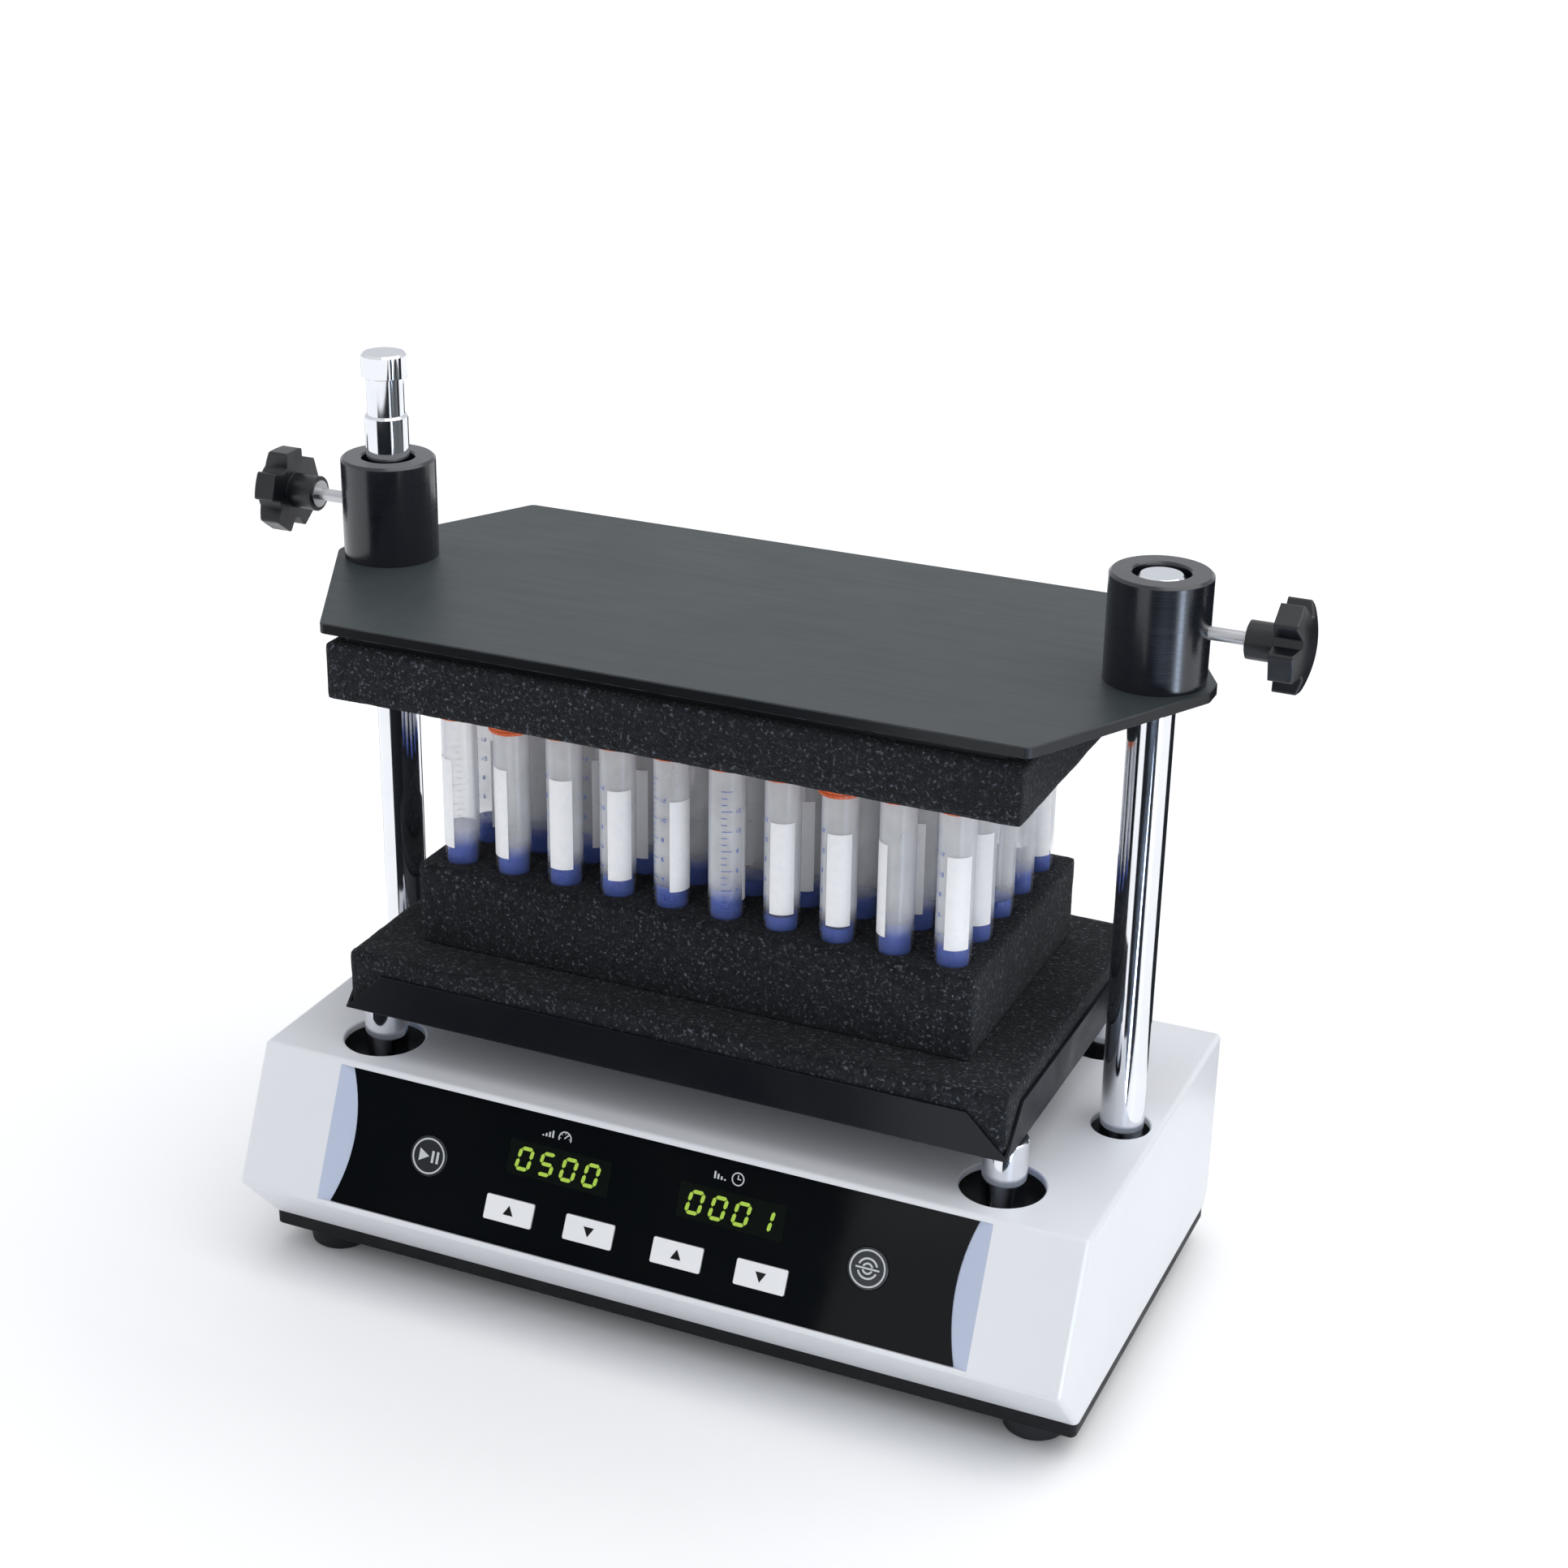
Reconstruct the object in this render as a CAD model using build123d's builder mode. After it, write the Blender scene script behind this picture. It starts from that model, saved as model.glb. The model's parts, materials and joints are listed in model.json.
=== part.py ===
from build123d import *
from math import hypot, sqrt, cos, sin, radians, pi
import os

# Multi-tube vortex mixer, millimetres.
# +X right, +Y back, +Z up. Origin: the middle of the footprint, on the bench.
# The pieces are drawn about the vertical drive axis, SHIFT_Y behind the origin.

os.makedirs("parts", exist_ok=True)

# ---------------------------------------------------------------- driving dimensions
HOUSING_W = 426.0          # housing width
SHIFT_Y = 10.17            # drive axis to origin
TOP_Z = 116.0              # housing top
FRONT_TOP_Y = -103.6       # top edge of the slanted front
LIP_Y, LIP_Z = -133.0, 51.0  # the lip, foremost line of the housing
REAR_Y = 108.0
SKIRT_Z = 20.0             # lower edge of the housing
FRONT_BOT_Y = -105.3
WALL = 3.5
FRONT_WALL = 8.0           # front wall, thick enough for the panel recess

BASE_Z = 12.0              # underside of the base plate
BASE_T = SKIRT_Z - BASE_Z

FOOT_R, FOOT_X, FOOT_YF, FOOT_YR = 17.0, 187.0, -84.0, 76.0

ORBIT_R = 1.8              # eccentricity: 3.6 mm orbit
CY = ORBIT_R               # the carriage stands this far back at rest

SHORT_X, SHORT_Y = 162.0, 74.9
TALL_X = 194.0
POST_R = 10.5
SHORT_HOLE_R, TALL_HOLE_R = 20.0, 14.1

CARR_Z, CARR_T = 92.0, 8.0
CARR_TOP = CARR_Z + CARR_T
TRAY_Z = 140.0             # underside of the tray
TRAY_X, TRAY_Y, TRAY_T = 170.0, 97.4, 1.5
FLANGE_TOP = 161.0
MITRE = 20.0
FOAM_TOP = 171.0           # top of the tray foam
RACK_X, RACK_Y, RACK_TOP = 142.0, 72.5, 213.0
PITCH = 28.0
TUBE_R, TUBE_LEN, TUBE_WALL = 8.5, 120.0, 1.1
TUBE_BOTTOM = 181.2
CAP_R, CAP_H = 10.6, 14.5

PAD_Z0, PAD_Z1 = 302.0, 330.0
PLATE_Z0, PLATE_Z1 = 334.5, 339.5
PLATE_X, PLATE_Y, TIP_X = 171.0, 101.0, 221.0
COLLAR_R, COLLAR_TOP = 23.0, 389.0
COLLAR_BORE = POST_R + 0.08
CBORE_R, CBORE_D = 12.9, 15.6
KNOB_Z = 364.3
STUD_R = 3.0
RIGHT_POST_TOP = 387.8
NECK_Z0, NECK_Z1, POST_TOP = 409.8, 428.6, 440.0

# slanted front face
FACE_DY, FACE_DZ = FRONT_TOP_Y - LIP_Y, TOP_Z - LIP_Z
FACE_LEN = hypot(FACE_DY, FACE_DZ)
UP = Vector(0, FACE_DY, FACE_DZ) * (1 / FACE_LEN)
NRM = Vector(0, -FACE_DZ, FACE_DY) * (1 / FACE_LEN)
FACE_TOP = Vector(0, FRONT_TOP_Y, TOP_Z)
S_MID = 35.8               # middle of the recess, measured down the face
REC_HALF_H = 33.2
REC_HALF_L = 168.5
REC_D = 4.4                # depth of the trough at mid height
REC_R = 321.0              # radius of its concave floor
FLARE = 3.6                # run of the flared end walls per mm of depth
OVERLAY_T = 1.2

PANEL_C = FACE_TOP - UP * S_MID


def panel_point(x, s, depth=0.0):
    return FACE_TOP - UP * s + Vector(x, 0, 0) - NRM * depth


def floor_depth(s):
    y = S_MID - s
    return REC_D - (REC_R - sqrt(REC_R**2 - y**2))


def floor_plane(x, s, lift=0.0):
    """Plane tangent to the trough floor at x, s; +Z points out of the panel."""
    y = S_MID - s
    n = NRM - UP * (y / REC_R)
    n = n * (1 / n.length)
    return Plane(origin=panel_point(x, s, floor_depth(s)) + n * lift, x_dir=(1, 0, 0), z_dir=n)


KEY_W, KEY_H, ROUND_KEY_R = 25.5, 12.0, 9.8
RECT_KEYS = {
    "speed_up_key": (-66.7, 52.0),
    "speed_down_key": (-24.2, 52.0),
    "time_up_key": (21.7, 52.0),
    "time_down_key": (64.3, 52.0),
}
ROUND_KEYS = {"start_key": (-114.0, 36.0), "mode_key": (114.0, 36.0)}
WINDOWS = [(-45.6, 26.0), (44.0, 26.0)]
WIN_W, WIN_H = 54.0, 17.0

# plane whose X runs up the face and whose Y points out of it
SIDE_PLANE = Plane(origin=PANEL_C, x_dir=UP, z_dir=(1, 0, 0))
# plane whose X is the row X and whose Y points out of the face
PLAN_PLANE = Plane(origin=PANEL_C, x_dir=(1, 0, 0), z_dir=UP * -1)
# plane of the face itself
FACE_PLANE = Plane(origin=PANEL_C, x_dir=(1, 0, 0), z_dir=NRM)


def edge_z(half):
    return -REC_D + REC_R - sqrt(REC_R**2 - half**2)


PART_NAMES = []


def save(builder, label):
    # everything is drawn about the drive axis, then moved so that the origin is
    # the middle of the footprint on the bench
    placed = builder.part.moved(Location((0, SHIFT_Y, 0)))
    placed.label = label
    export_step(placed, "parts/" + label + ".step")
    PART_NAMES.append(label)
    return placed.bounding_box()


# ---------------------------------------------------------------- upper housing
with BuildPart() as recess_tool:
    with BuildSketch(SIDE_PLANE):
        with BuildLine():
            ThreePointArc((-REC_HALF_H, edge_z(REC_HALF_H)), (0, -REC_D), (REC_HALF_H, edge_z(REC_HALF_H)))
            Line((REC_HALF_H, edge_z(REC_HALF_H)), (REC_HALF_H, 6))
            Line((REC_HALF_H, 6), (-REC_HALF_H, 6))
            Line((-REC_HALF_H, 6), (-REC_HALF_H, edge_z(REC_HALF_H)))
        make_face()
    extrude(amount=180, both=True)
    with BuildSketch(PLAN_PLANE):
        Polygon((-REC_HALF_L, 6), (-REC_HALF_L, 0), (-REC_HALF_L + FLARE * 8, -8),
                (REC_HALF_L - FLARE * 8, -8), (REC_HALF_L, 0), (REC_HALF_L, 6), align=None)
    extrude(amount=60, both=True, mode=Mode.INTERSECT)

SLOPE = FACE_DY / FACE_DZ
n_off = FRONT_WALL / (FACE_DZ / FACE_LEN)
in_front_top = (LIP_Y + n_off + (TOP_Z - WALL - LIP_Z) * SLOPE, TOP_Z - WALL)
in_lip = (-125.6, 47.9)

BOSSES = [(-203, -58), (-203, 38), (203, -58), (203, 38), (-203, 96), (203, 96)]
INLET_X, SWITCH_X, REAR_PART_Z = -166.0, -118.0, 60.0

with BuildPart() as upper_housing:
    with BuildSketch(Plane.YZ):
        Polygon((LIP_Y, LIP_Z), (FRONT_TOP_Y, TOP_Z), (REAR_Y, TOP_Z), (REAR_Y, SKIRT_Z + 7.5),
                (REAR_Y - 4.5, SKIRT_Z), (FRONT_BOT_Y, SKIRT_Z), align=None)
    extrude(amount=HOUSING_W / 2, both=True)
    # softened outer edges: everything but the open lower rim
    outer_edges = [e for e in upper_housing.edges() if e.center().Z > SKIRT_Z + 1]
    fillet(outer_edges, radius=2.6)
    # hollow
    with BuildSketch(Plane.YZ):
        Polygon(in_lip, in_front_top, (REAR_Y - WALL, TOP_Z - WALL), (REAR_Y - WALL, SKIRT_Z + 8.5),
                (REAR_Y - WALL - 5.2, SKIRT_Z - 0.1), (FRONT_BOT_Y + 4.8, SKIRT_Z - 0.1), align=None)
    extrude(amount=HOUSING_W / 2 - WALL, both=True, mode=Mode.SUBTRACT)
    # screw bosses on the end walls and rear corners
    with BuildSketch(Plane.XY.offset(SKIRT_Z)):
        with Locations(*BOSSES):
            Circle(6.9)
    extrude(amount=36)
    with BuildSketch(Plane.XY.offset(SKIRT_Z)):
        with Locations(*BOSSES):
            Circle(2.05)
    extrude(amount=26, mode=Mode.SUBTRACT)
    # panel trough in the slanted face
    add(recess_tool.part, mode=Mode.SUBTRACT)
    # clearance holes for the posts
    with BuildSketch(Plane.XY.offset(TOP_Z + 1)):
        with Locations((-SHORT_X, -SHORT_Y), (SHORT_X, -SHORT_Y), (-SHORT_X, SHORT_Y), (SHORT_X, SHORT_Y)):
            Circle(SHORT_HOLE_R)
        with Locations((-TALL_X, 0), (TALL_X, 0)):
            Circle(TALL_HOLE_R)
    extrude(amount=-8, mode=Mode.SUBTRACT)
    rims = upper_housing.edges().filter_by(GeomType.CIRCLE).filter_by_position(Axis.Z, TOP_Z - 0.01, TOP_Z + 0.01)
    chamfer(rims, length=0.6)
    # key and window openings
    for kx, ks in RECT_KEYS.values():
        with BuildSketch(floor_plane(kx, ks, 3)):
            RectangleRounded(KEY_W + 0.7, KEY_H + 0.7, 1.2)
        extrude(amount=-10, mode=Mode.SUBTRACT)
    for kx, ks in ROUND_KEYS.values():
        with BuildSketch(floor_plane(kx, ks, 3)):
            Circle(ROUND_KEY_R + 0.35)
        extrude(amount=-10, mode=Mode.SUBTRACT)
    for wx, ws in WINDOWS:
        with BuildSketch(floor_plane(wx, ws, 3)):
            Rectangle(WIN_W - 3, WIN_H - 3)
        extrude(amount=-10, mode=Mode.SUBTRACT)
    # rear wall: inlet and switch openings, vent slots
    with BuildSketch(Plane.XZ.offset(-REAR_Y - 1)):
        with Locations((INLET_X, REAR_PART_Z)):
            Rectangle(28.4, 25.4)
        with Locations((SWITCH_X, REAR_PART_Z)):
            Rectangle(19.4, 27.4)
        with Locations((60, REAR_PART_Z)):
            with GridLocations(9, 0, 12, 1):
                SlotOverall(34, 3.2, rotation=90)
    extrude(amount=8, mode=Mode.SUBTRACT)
save(upper_housing, "upper_housing")

# ---------------------------------------------------------------- base plate, feet and their screws
MOTOR_SCREWS = [(-40, -40), (40, -40), (-40, 40), (40, 40)]
IDLER_X, IDLER_Y = 112.0, 58.0
IDLERS = {"fl": (-IDLER_X, -IDLER_Y), "fr": (IDLER_X, -IDLER_Y), "rl": (-IDLER_X, IDLER_Y), "rr": (IDLER_X, IDLER_Y)}
IDLER_SCREWS = [(ix + d, iy) for ix, iy in IDLERS.values() for d in (-20, 20)]
FEET = [(-FOOT_X, FOOT_YF), (FOOT_X, FOOT_YF), (-FOOT_X, FOOT_YR), (FOOT_X, FOOT_YR)]

with BuildPart() as base_plate:
    with BuildSketch(Plane.XY.offset(BASE_Z)):
        with Locations((0, (FRONT_BOT_Y + REAR_Y - 4.5) / 2)):
            RectangleRounded(HOUSING_W - 1.6, REAR_Y - 4.5 - FRONT_BOT_Y - 0.8, 3)
    extrude(amount=BASE_T)
    chamfer(base_plate.faces().sort_by(Axis.Z)[0].edges(), length=0.8)
    # screws into the housing bosses, counterbored from below
    with BuildSketch(Plane.XY.offset(BASE_Z - 1)):
        with Locations(*BOSSES):
            Circle(2.25)
    extrude(amount=BASE_T + 2, mode=Mode.SUBTRACT)
    with BuildSketch(Plane.XY.offset(BASE_Z - 1)):
        with Locations(*BOSSES):
            Circle(4.3)
    extrude(amount=5.4, mode=Mode.SUBTRACT)
    # tapped holes for the feet, the motor and the idler blocks
    with BuildSketch(Plane.XY.offset(BASE_Z - 1)):
        with Locations(*FEET):
            Circle(2.55)
    extrude(amount=BASE_T + 2, mode=Mode.SUBTRACT)
    with BuildSketch(Plane.XY.offset(SKIRT_Z + 1)):
        with Locations(*(MOTOR_SCREWS + IDLER_SCREWS)):
            Circle(2.55)
    extrude(amount=-8, mode=Mode.SUBTRACT)
save(base_plate, "base_plate")

with BuildPart() as housing_screws:
    with Locations(*[(bx, by, BASE_Z + 0.4) for bx, by in BOSSES]):
        Cylinder(3.8, 3.9, align=(Align.CENTER, Align.CENTER, Align.MIN))
    with Locations(*[(bx, by, BASE_Z + 4.3) for bx, by in BOSSES]):
        Cylinder(2.0, 26, align=(Align.CENTER, Align.CENTER, Align.MIN))
    with Locations(*[(bx, by, BASE_Z + 0.4) for bx, by in BOSSES]):
        Cylinder(1.6, 2.2, align=(Align.CENTER, Align.CENTER, Align.MIN), mode=Mode.SUBTRACT)
save(housing_screws, "housing_screws")

with BuildPart() as rubber_feet:
    for fx, fy in FEET:
        with BuildSketch(Plane.XY):
            with Locations((fx, fy)):
                Circle(FOOT_R - 2.0)
        extrude(amount=BASE_Z, taper=-9)
    chamfer(rubber_feet.edges().filter_by(GeomType.CIRCLE).group_by(Axis.Z)[0], length=1.0)
    with Locations(*[(fx, fy, 0) for fx, fy in FEET]):
        Cylinder(5.6, 7.0, align=(Align.CENTER, Align.CENTER, Align.MIN), mode=Mode.SUBTRACT)
        Cylinder(2.7, BASE_Z, align=(Align.CENTER, Align.CENTER, Align.MIN), mode=Mode.SUBTRACT)
save(rubber_feet, "rubber_feet")

with BuildPart() as foot_screws:
    with Locations(*[(fx, fy, 3.8) for fx, fy in FEET]):
        Cylinder(4.6, 3.2, align=(Align.CENTER, Align.CENTER, Align.MIN))
    with Locations(*[(fx, fy, 7.0) for fx, fy in FEET]):
        Cylinder(2.5, 12.5, align=(Align.CENTER, Align.CENTER, Align.MIN))
    with Locations(*[(fx, fy, 3.8) for fx, fy in FEET]):
        Box(6.0, 1.1, 1.4, align=(Align.CENTER, Align.CENTER, Align.MIN), mode=Mode.SUBTRACT)
save(foot_screws, "foot_screws")

# ---------------------------------------------------------------- control panel
OV_H = REC_HALF_H - 0.25
with BuildPart() as panel_overlay:
    with BuildSketch(SIDE_PLANE):
        with BuildLine():
            ThreePointArc((-OV_H, edge_z(OV_H)), (0, -REC_D), (OV_H, edge_z(OV_H)))
            Line((OV_H, edge_z(OV_H)), (OV_H, edge_z(OV_H) + OVERLAY_T))
            ThreePointArc((OV_H, edge_z(OV_H) + OVERLAY_T), (0, -REC_D + OVERLAY_T), (-OV_H, edge_z(OV_H) + OVERLAY_T))
            Line((-OV_H, edge_z(OV_H) + OVERLAY_T), (-OV_H, edge_z(OV_H)))
        make_face()
    extrude(amount=180, both=True)
    with BuildSketch(PLAN_PLANE):
        # its ends follow the foot of the flared walls, so they curve inwards at mid height
        Polygon((-REC_HALF_L + 1.2, 0), (-REC_HALF_L + 1.2 + FLARE * 8, -8),
                (REC_HALF_L - 1.2 - FLARE * 8, -8), (REC_HALF_L - 1.2, 0), align=None)
    extrude(amount=60, both=True, mode=Mode.INTERSECT)
    for kx, ks in RECT_KEYS.values():
        with BuildSketch(floor_plane(kx, ks, 3)):
            RectangleRounded(KEY_W + 0.7, KEY_H + 0.7, 1.2)
        extrude(amount=-6, mode=Mode.SUBTRACT)
    for kx, ks in ROUND_KEYS.values():
        with BuildSketch(floor_plane(kx, ks, 3)):
            Circle(ROUND_KEY_R + 0.35)
        extrude(amount=-6, mode=Mode.SUBTRACT)
    for wx, ws in WINDOWS:
        with BuildSketch(floor_plane(wx, ws, 3)):
            Rectangle(WIN_W, WIN_H)
        extrude(amount=-6, mode=Mode.SUBTRACT)
save(panel_overlay, "panel_overlay")

with BuildPart() as display_windows:
    for wx, ws in WINDOWS:
        with BuildSketch(floor_plane(wx, ws, 0.14)):
            Rectangle(WIN_W - 0.2, WIN_H - 0.2)
        extrude(amount=OVERLAY_T - 0.14)
save(display_windows, "display_windows")

PCB_D = 14.6               # depth of the board's front side below the outer face
with BuildPart() as display_modules:
    for wx, ws in WINDOWS:
        with BuildSketch(floor_plane(wx, ws, -0.4)):
            Rectangle(WIN_W - 4, WIN_H - 4)
        extrude(amount=-(PCB_D - floor_depth(ws) - 0.8))
save(display_modules, "display_modules")

with BuildPart() as control_board:
    with BuildSketch(Plane(origin=panel_point(0, 38, PCB_D), x_dir=(1, 0, 0), z_dir=NRM)):
        Rectangle(300, 48)
        with GridLocations(286, 38, 2, 2):
            Circle(1.7, mode=Mode.SUBTRACT)
    extrude(amount=-1.6)
    # push switches under the keys
    for kx, ks in list(RECT_KEYS.values()) + list(ROUND_KEYS.values()):
        with BuildSketch(Plane(origin=panel_point(kx, ks, PCB_D), x_dir=(1, 0, 0), z_dir=NRM)):
            Rectangle(6, 6)
        extrude(amount=2.2)
        with BuildSketch(Plane(origin=panel_point(kx, ks, PCB_D - 2.2), x_dir=(1, 0, 0), z_dir=NRM)):
            Circle(1.75)
        extrude(amount=1.0)
save(control_board, "control_board")

for key_name, (kx, ks) in RECT_KEYS.items():
    with BuildPart() as key:
        with BuildSketch(floor_plane(kx, ks, OVERLAY_T + 0.9)):
            RectangleRounded(KEY_W, KEY_H, 0.9)
        extrude(amount=-(OVERLAY_T + 0.9 + 6.0))
        fillet(key.faces().sort_by(Axis(origin=(0, 0, 0), direction=tuple(NRM)))[-1].edges(), radius=0.4)
        with BuildSketch(floor_plane(kx, ks, -4.8)):
            RectangleRounded(KEY_W + 4, KEY_H + 3.4, 1.5)
        extrude(amount=-1.2)
    save(key, key_name)

for key_name, (kx, ks) in ROUND_KEYS.items():
    with BuildPart() as key:
        with BuildSketch(floor_plane(kx, ks, OVERLAY_T + 0.7)):
            Circle(ROUND_KEY_R)
        extrude(amount=-(OVERLAY_T + 0.7 + 6.0))
        fillet(key.faces().sort_by(Axis(origin=(0, 0, 0), direction=tuple(NRM)))[-1].edges(), radius=0.5)
        with BuildSketch(floor_plane(kx, ks, -4.6)):
            Circle(ROUND_KEY_R + 2.2)
        extrude(amount=-1.4)
    save(key, key_name)

# ---------------------------------------------------------------- motor
with BuildPart() as motor_case:
    with BuildSketch(Plane.XY.offset(SKIRT_Z)):
        RectangleRounded(98, 98, 10)
        with Locations(*MOTOR_SCREWS):
            Circle(2.75, mode=Mode.SUBTRACT)
    extrude(amount=8)
    with BuildSketch(Plane.XY.offset(SKIRT_Z)):
        Circle(42)
    extrude(amount=40)
    with BuildSketch(Plane.XY.offset(32)):
        Circle(38)
    extrude(amount=40, mode=Mode.SUBTRACT)
    with BuildSketch(Plane.XY.offset(24)):
        Circle(14)
    extrude(amount=20, mode=Mode.SUBTRACT)
save(motor_case, "motor_case")

with BuildPart() as motor_cover:
    with BuildSketch(Plane.XY.offset(60)):
        Circle(42)
    extrude(amount=8)
    with BuildSketch(Plane.XY.offset(60)):
        Circle(14)
    extrude(amount=6, mode=Mode.SUBTRACT)
    with BuildSketch(Plane.XY.offset(60)):
        Circle(8)
    extrude(amount=10, mode=Mode.SUBTRACT)
    fillet(motor_cover.edges().filter_by(GeomType.CIRCLE).group_by(Axis.Z)[-1].sort_by(SortBy.RADIUS)[-1], radius=2)
save(motor_cover, "motor_cover")

with BuildPart() as stator:
    with BuildSketch(Plane.XY.offset(35)):
        Circle(38)
        Circle(24.4, mode=Mode.SUBTRACT)
        with PolarLocations(31.5, 12):
            Rectangle(8, 2.4, mode=Mode.SUBTRACT)
    extrude(amount=22)
save(stator, "stator")

with BuildPart() as motor_bearings:
    with BuildSketch(Plane.XY.offset(24)):
        Circle(14)
        Circle(6.03, mode=Mode.SUBTRACT)
    extrude(amount=8)
    with BuildSketch(Plane.XY.offset(60)):
        Circle(14)
        Circle(6.03, mode=Mode.SUBTRACT)
    extrude(amount=6)
save(motor_bearings, "motor_bearings")

with BuildPart() as rotor:
    with BuildSketch(Plane.XY.offset(35)):
        Circle(24)
        Circle(6.0, mode=Mode.SUBTRACT)
    extrude(amount=22)
save(rotor, "rotor")

with BuildPart() as drive_shaft:
    with BuildSketch(Plane.XY.offset(24.3)):
        Circle(6.0)
    extrude(amount=84 - 24.3)
    chamfer(drive_shaft.edges().group_by(Axis.Z)[0], length=0.6)
save(drive_shaft, "drive_shaft")

with BuildPart() as eccentric_hub:
    with BuildSketch(Plane.XY.offset(70)):
        Circle(15)
    extrude(amount=16)
    with BuildSketch(Plane.XY.offset(69)):
        Circle(6.0)
    extrude(amount=15, mode=Mode.SUBTRACT)
    with BuildSketch(Plane.XY.offset(86)):
        with Locations((0, ORBIT_R)):
            Circle(8.0)
    extrude(amount=14.5)
    chamfer(eccentric_hub.edges().group_by(Axis.Z)[-1], length=0.8)
save(eccentric_hub, "eccentric_hub")

with BuildPart() as counterweight:
    with BuildSketch(Plane.XY.offset(73)):
        with BuildLine():
            ThreePointArc((-48, 0), (0, -48), (48, 0))
            Line((48, 0), (15, 0))
            ThreePointArc((15, 0), (0, -15), (-15, 0))
            Line((-15, 0), (-48, 0))
        make_face()
    extrude(amount=10)
    chamfer(counterweight.faces().sort_by(Axis.Z)[-1].edges().sort_by(Axis.Y)[0], length=1.0)
save(counterweight, "counterweight")

with BuildPart() as mount_screws:
    with Locations(*[(sx, sy, 28) for sx, sy in MOTOR_SCREWS + IDLER_SCREWS]):
        Cylinder(4.25, 4.8, align=(Align.CENTER, Align.CENTER, Align.MIN))
    with Locations(*[(sx, sy, 14) for sx, sy in MOTOR_SCREWS + IDLER_SCREWS]):
        Cylinder(2.5, 14, align=(Align.CENTER, Align.CENTER, Align.MIN))
    with Locations(*[(sx, sy, 30.6) for sx, sy in MOTOR_SCREWS + IDLER_SCREWS]):
        Cylinder(2.2, 3, align=(Align.CENTER, Align.CENTER, Align.MIN), mode=Mode.SUBTRACT)
save(mount_screws, "mount_screws")

# ---------------------------------------------------------------- idlers
with BuildPart() as idler_blocks:
    with BuildSketch(Plane.XY.offset(SKIRT_Z)):
        with Locations(*IDLERS.values()):
            Circle(25.5)
        with Locations(*IDLER_SCREWS):
            Circle(2.75, mode=Mode.SUBTRACT)
    extrude(amount=8)
    with BuildSketch(Plane.XY.offset(SKIRT_Z)):
        with Locations(*IDLERS.values()):
            Circle(15)
    extrude(amount=58)
    with BuildSketch(Plane.XY.offset(68)):
        with Locations(*IDLERS.values()):
            Circle(11)
    extrude(amount=12, mode=Mode.SUBTRACT)
    with BuildSketch(Plane.XY.offset(50)):
        with Locations(*IDLERS.values()):
            Circle(6.5)
    extrude(amount=20, mode=Mode.SUBTRACT)
save(idler_blocks, "idler_blocks")

with BuildPart() as idler_bearings:
    with BuildSketch(Plane.XY.offset(68)):
        with Locations(*IDLERS.values()):
            Circle(11)
            Circle(5.03, mode=Mode.SUBTRACT)
    extrude(amount=10)
save(idler_bearings, "idler_bearings")

for tag, (ix, iy) in IDLERS.items():
    with BuildPart() as idler_crank:
        with BuildSketch(Plane.XY.offset(54)):
            with Locations((ix, iy)):
                Circle(5.0)
        extrude(amount=26)
        with BuildSketch(Plane.XY.offset(79.2)):
            with Locations((ix, iy)):
                Circle(12.5)
        extrude(amount=6.8)
        with BuildSketch(Plane.XY.offset(86)):
            with Locations((ix, iy + ORBIT_R)):
                Circle(5.0)
        extrude(amount=14)
        chamfer(idler_crank.edges().group_by(Axis.Z)[-1], length=0.5)
    save(idler_crank, "idler_crank_" + tag)

# ---------------------------------------------------------------- orbiting carriage
SHORT_POSTS = [(-SHORT_X, CY - SHORT_Y), (SHORT_X, CY - SHORT_Y), (-SHORT_X, CY + SHORT_Y), (SHORT_X, CY + SHORT_Y)]
TALL_POSTS = [(-TALL_X, CY), (TALL_X, CY)]

with BuildPart() as carriage_plate:
    with BuildSketch(Plane.XY.offset(CARR_Z)):
        with Locations((0, CY)):
            RectangleRounded(410, 174.4, 12)
        with Locations((0, CY)):
            Circle(17, mode=Mode.SUBTRACT)
        with Locations(*[(ix, iy + CY) for ix, iy in IDLERS.values()]):
            Circle(11, mode=Mode.SUBTRACT)
        with Locations(*(SHORT_POSTS + TALL_POSTS)):
            Circle(6.05, mode=Mode.SUBTRACT)
        with Locations((-78, CY), (78, CY)):
            RectangleRounded(60, 60, 10, mode=Mode.SUBTRACT)
    extrude(amount=CARR_T)
save(carriage_plate, "carriage_plate")

with BuildPart() as carriage_bearings:
    with BuildSketch(Plane.XY.offset(CARR_Z)):
        with Locations((0, CY)):
            Circle(17)
            Circle(8.03, mode=Mode.SUBTRACT)
        with Locations(*[(ix, iy + CY) for ix, iy in IDLERS.values()]):
            Circle(11)
            Circle(5.09, mode=Mode.SUBTRACT)
    extrude(amount=CARR_T)
save(carriage_bearings, "carriage_bearings")

with BuildPart() as short_posts:
    with BuildSketch(Plane.XY.offset(CARR_TOP)):
        with Locations(*SHORT_POSTS):
            Circle(POST_R)
    extrude(amount=TRAY_Z - CARR_TOP)
    chamfer(short_posts.edges().filter_by(GeomType.CIRCLE), length=0.5)
    with BuildSketch(Plane.XY.offset(80)):
        with Locations(*SHORT_POSTS):
            Circle(6.0)
    extrude(amount=CARR_TOP - 80)
    with BuildSketch(Plane.XY.offset(TRAY_Z)):
        with Locations(*SHORT_POSTS):
            Circle(2.55)
    extrude(amount=-18, mode=Mode.SUBTRACT)
save(short_posts, "short_posts")

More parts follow.
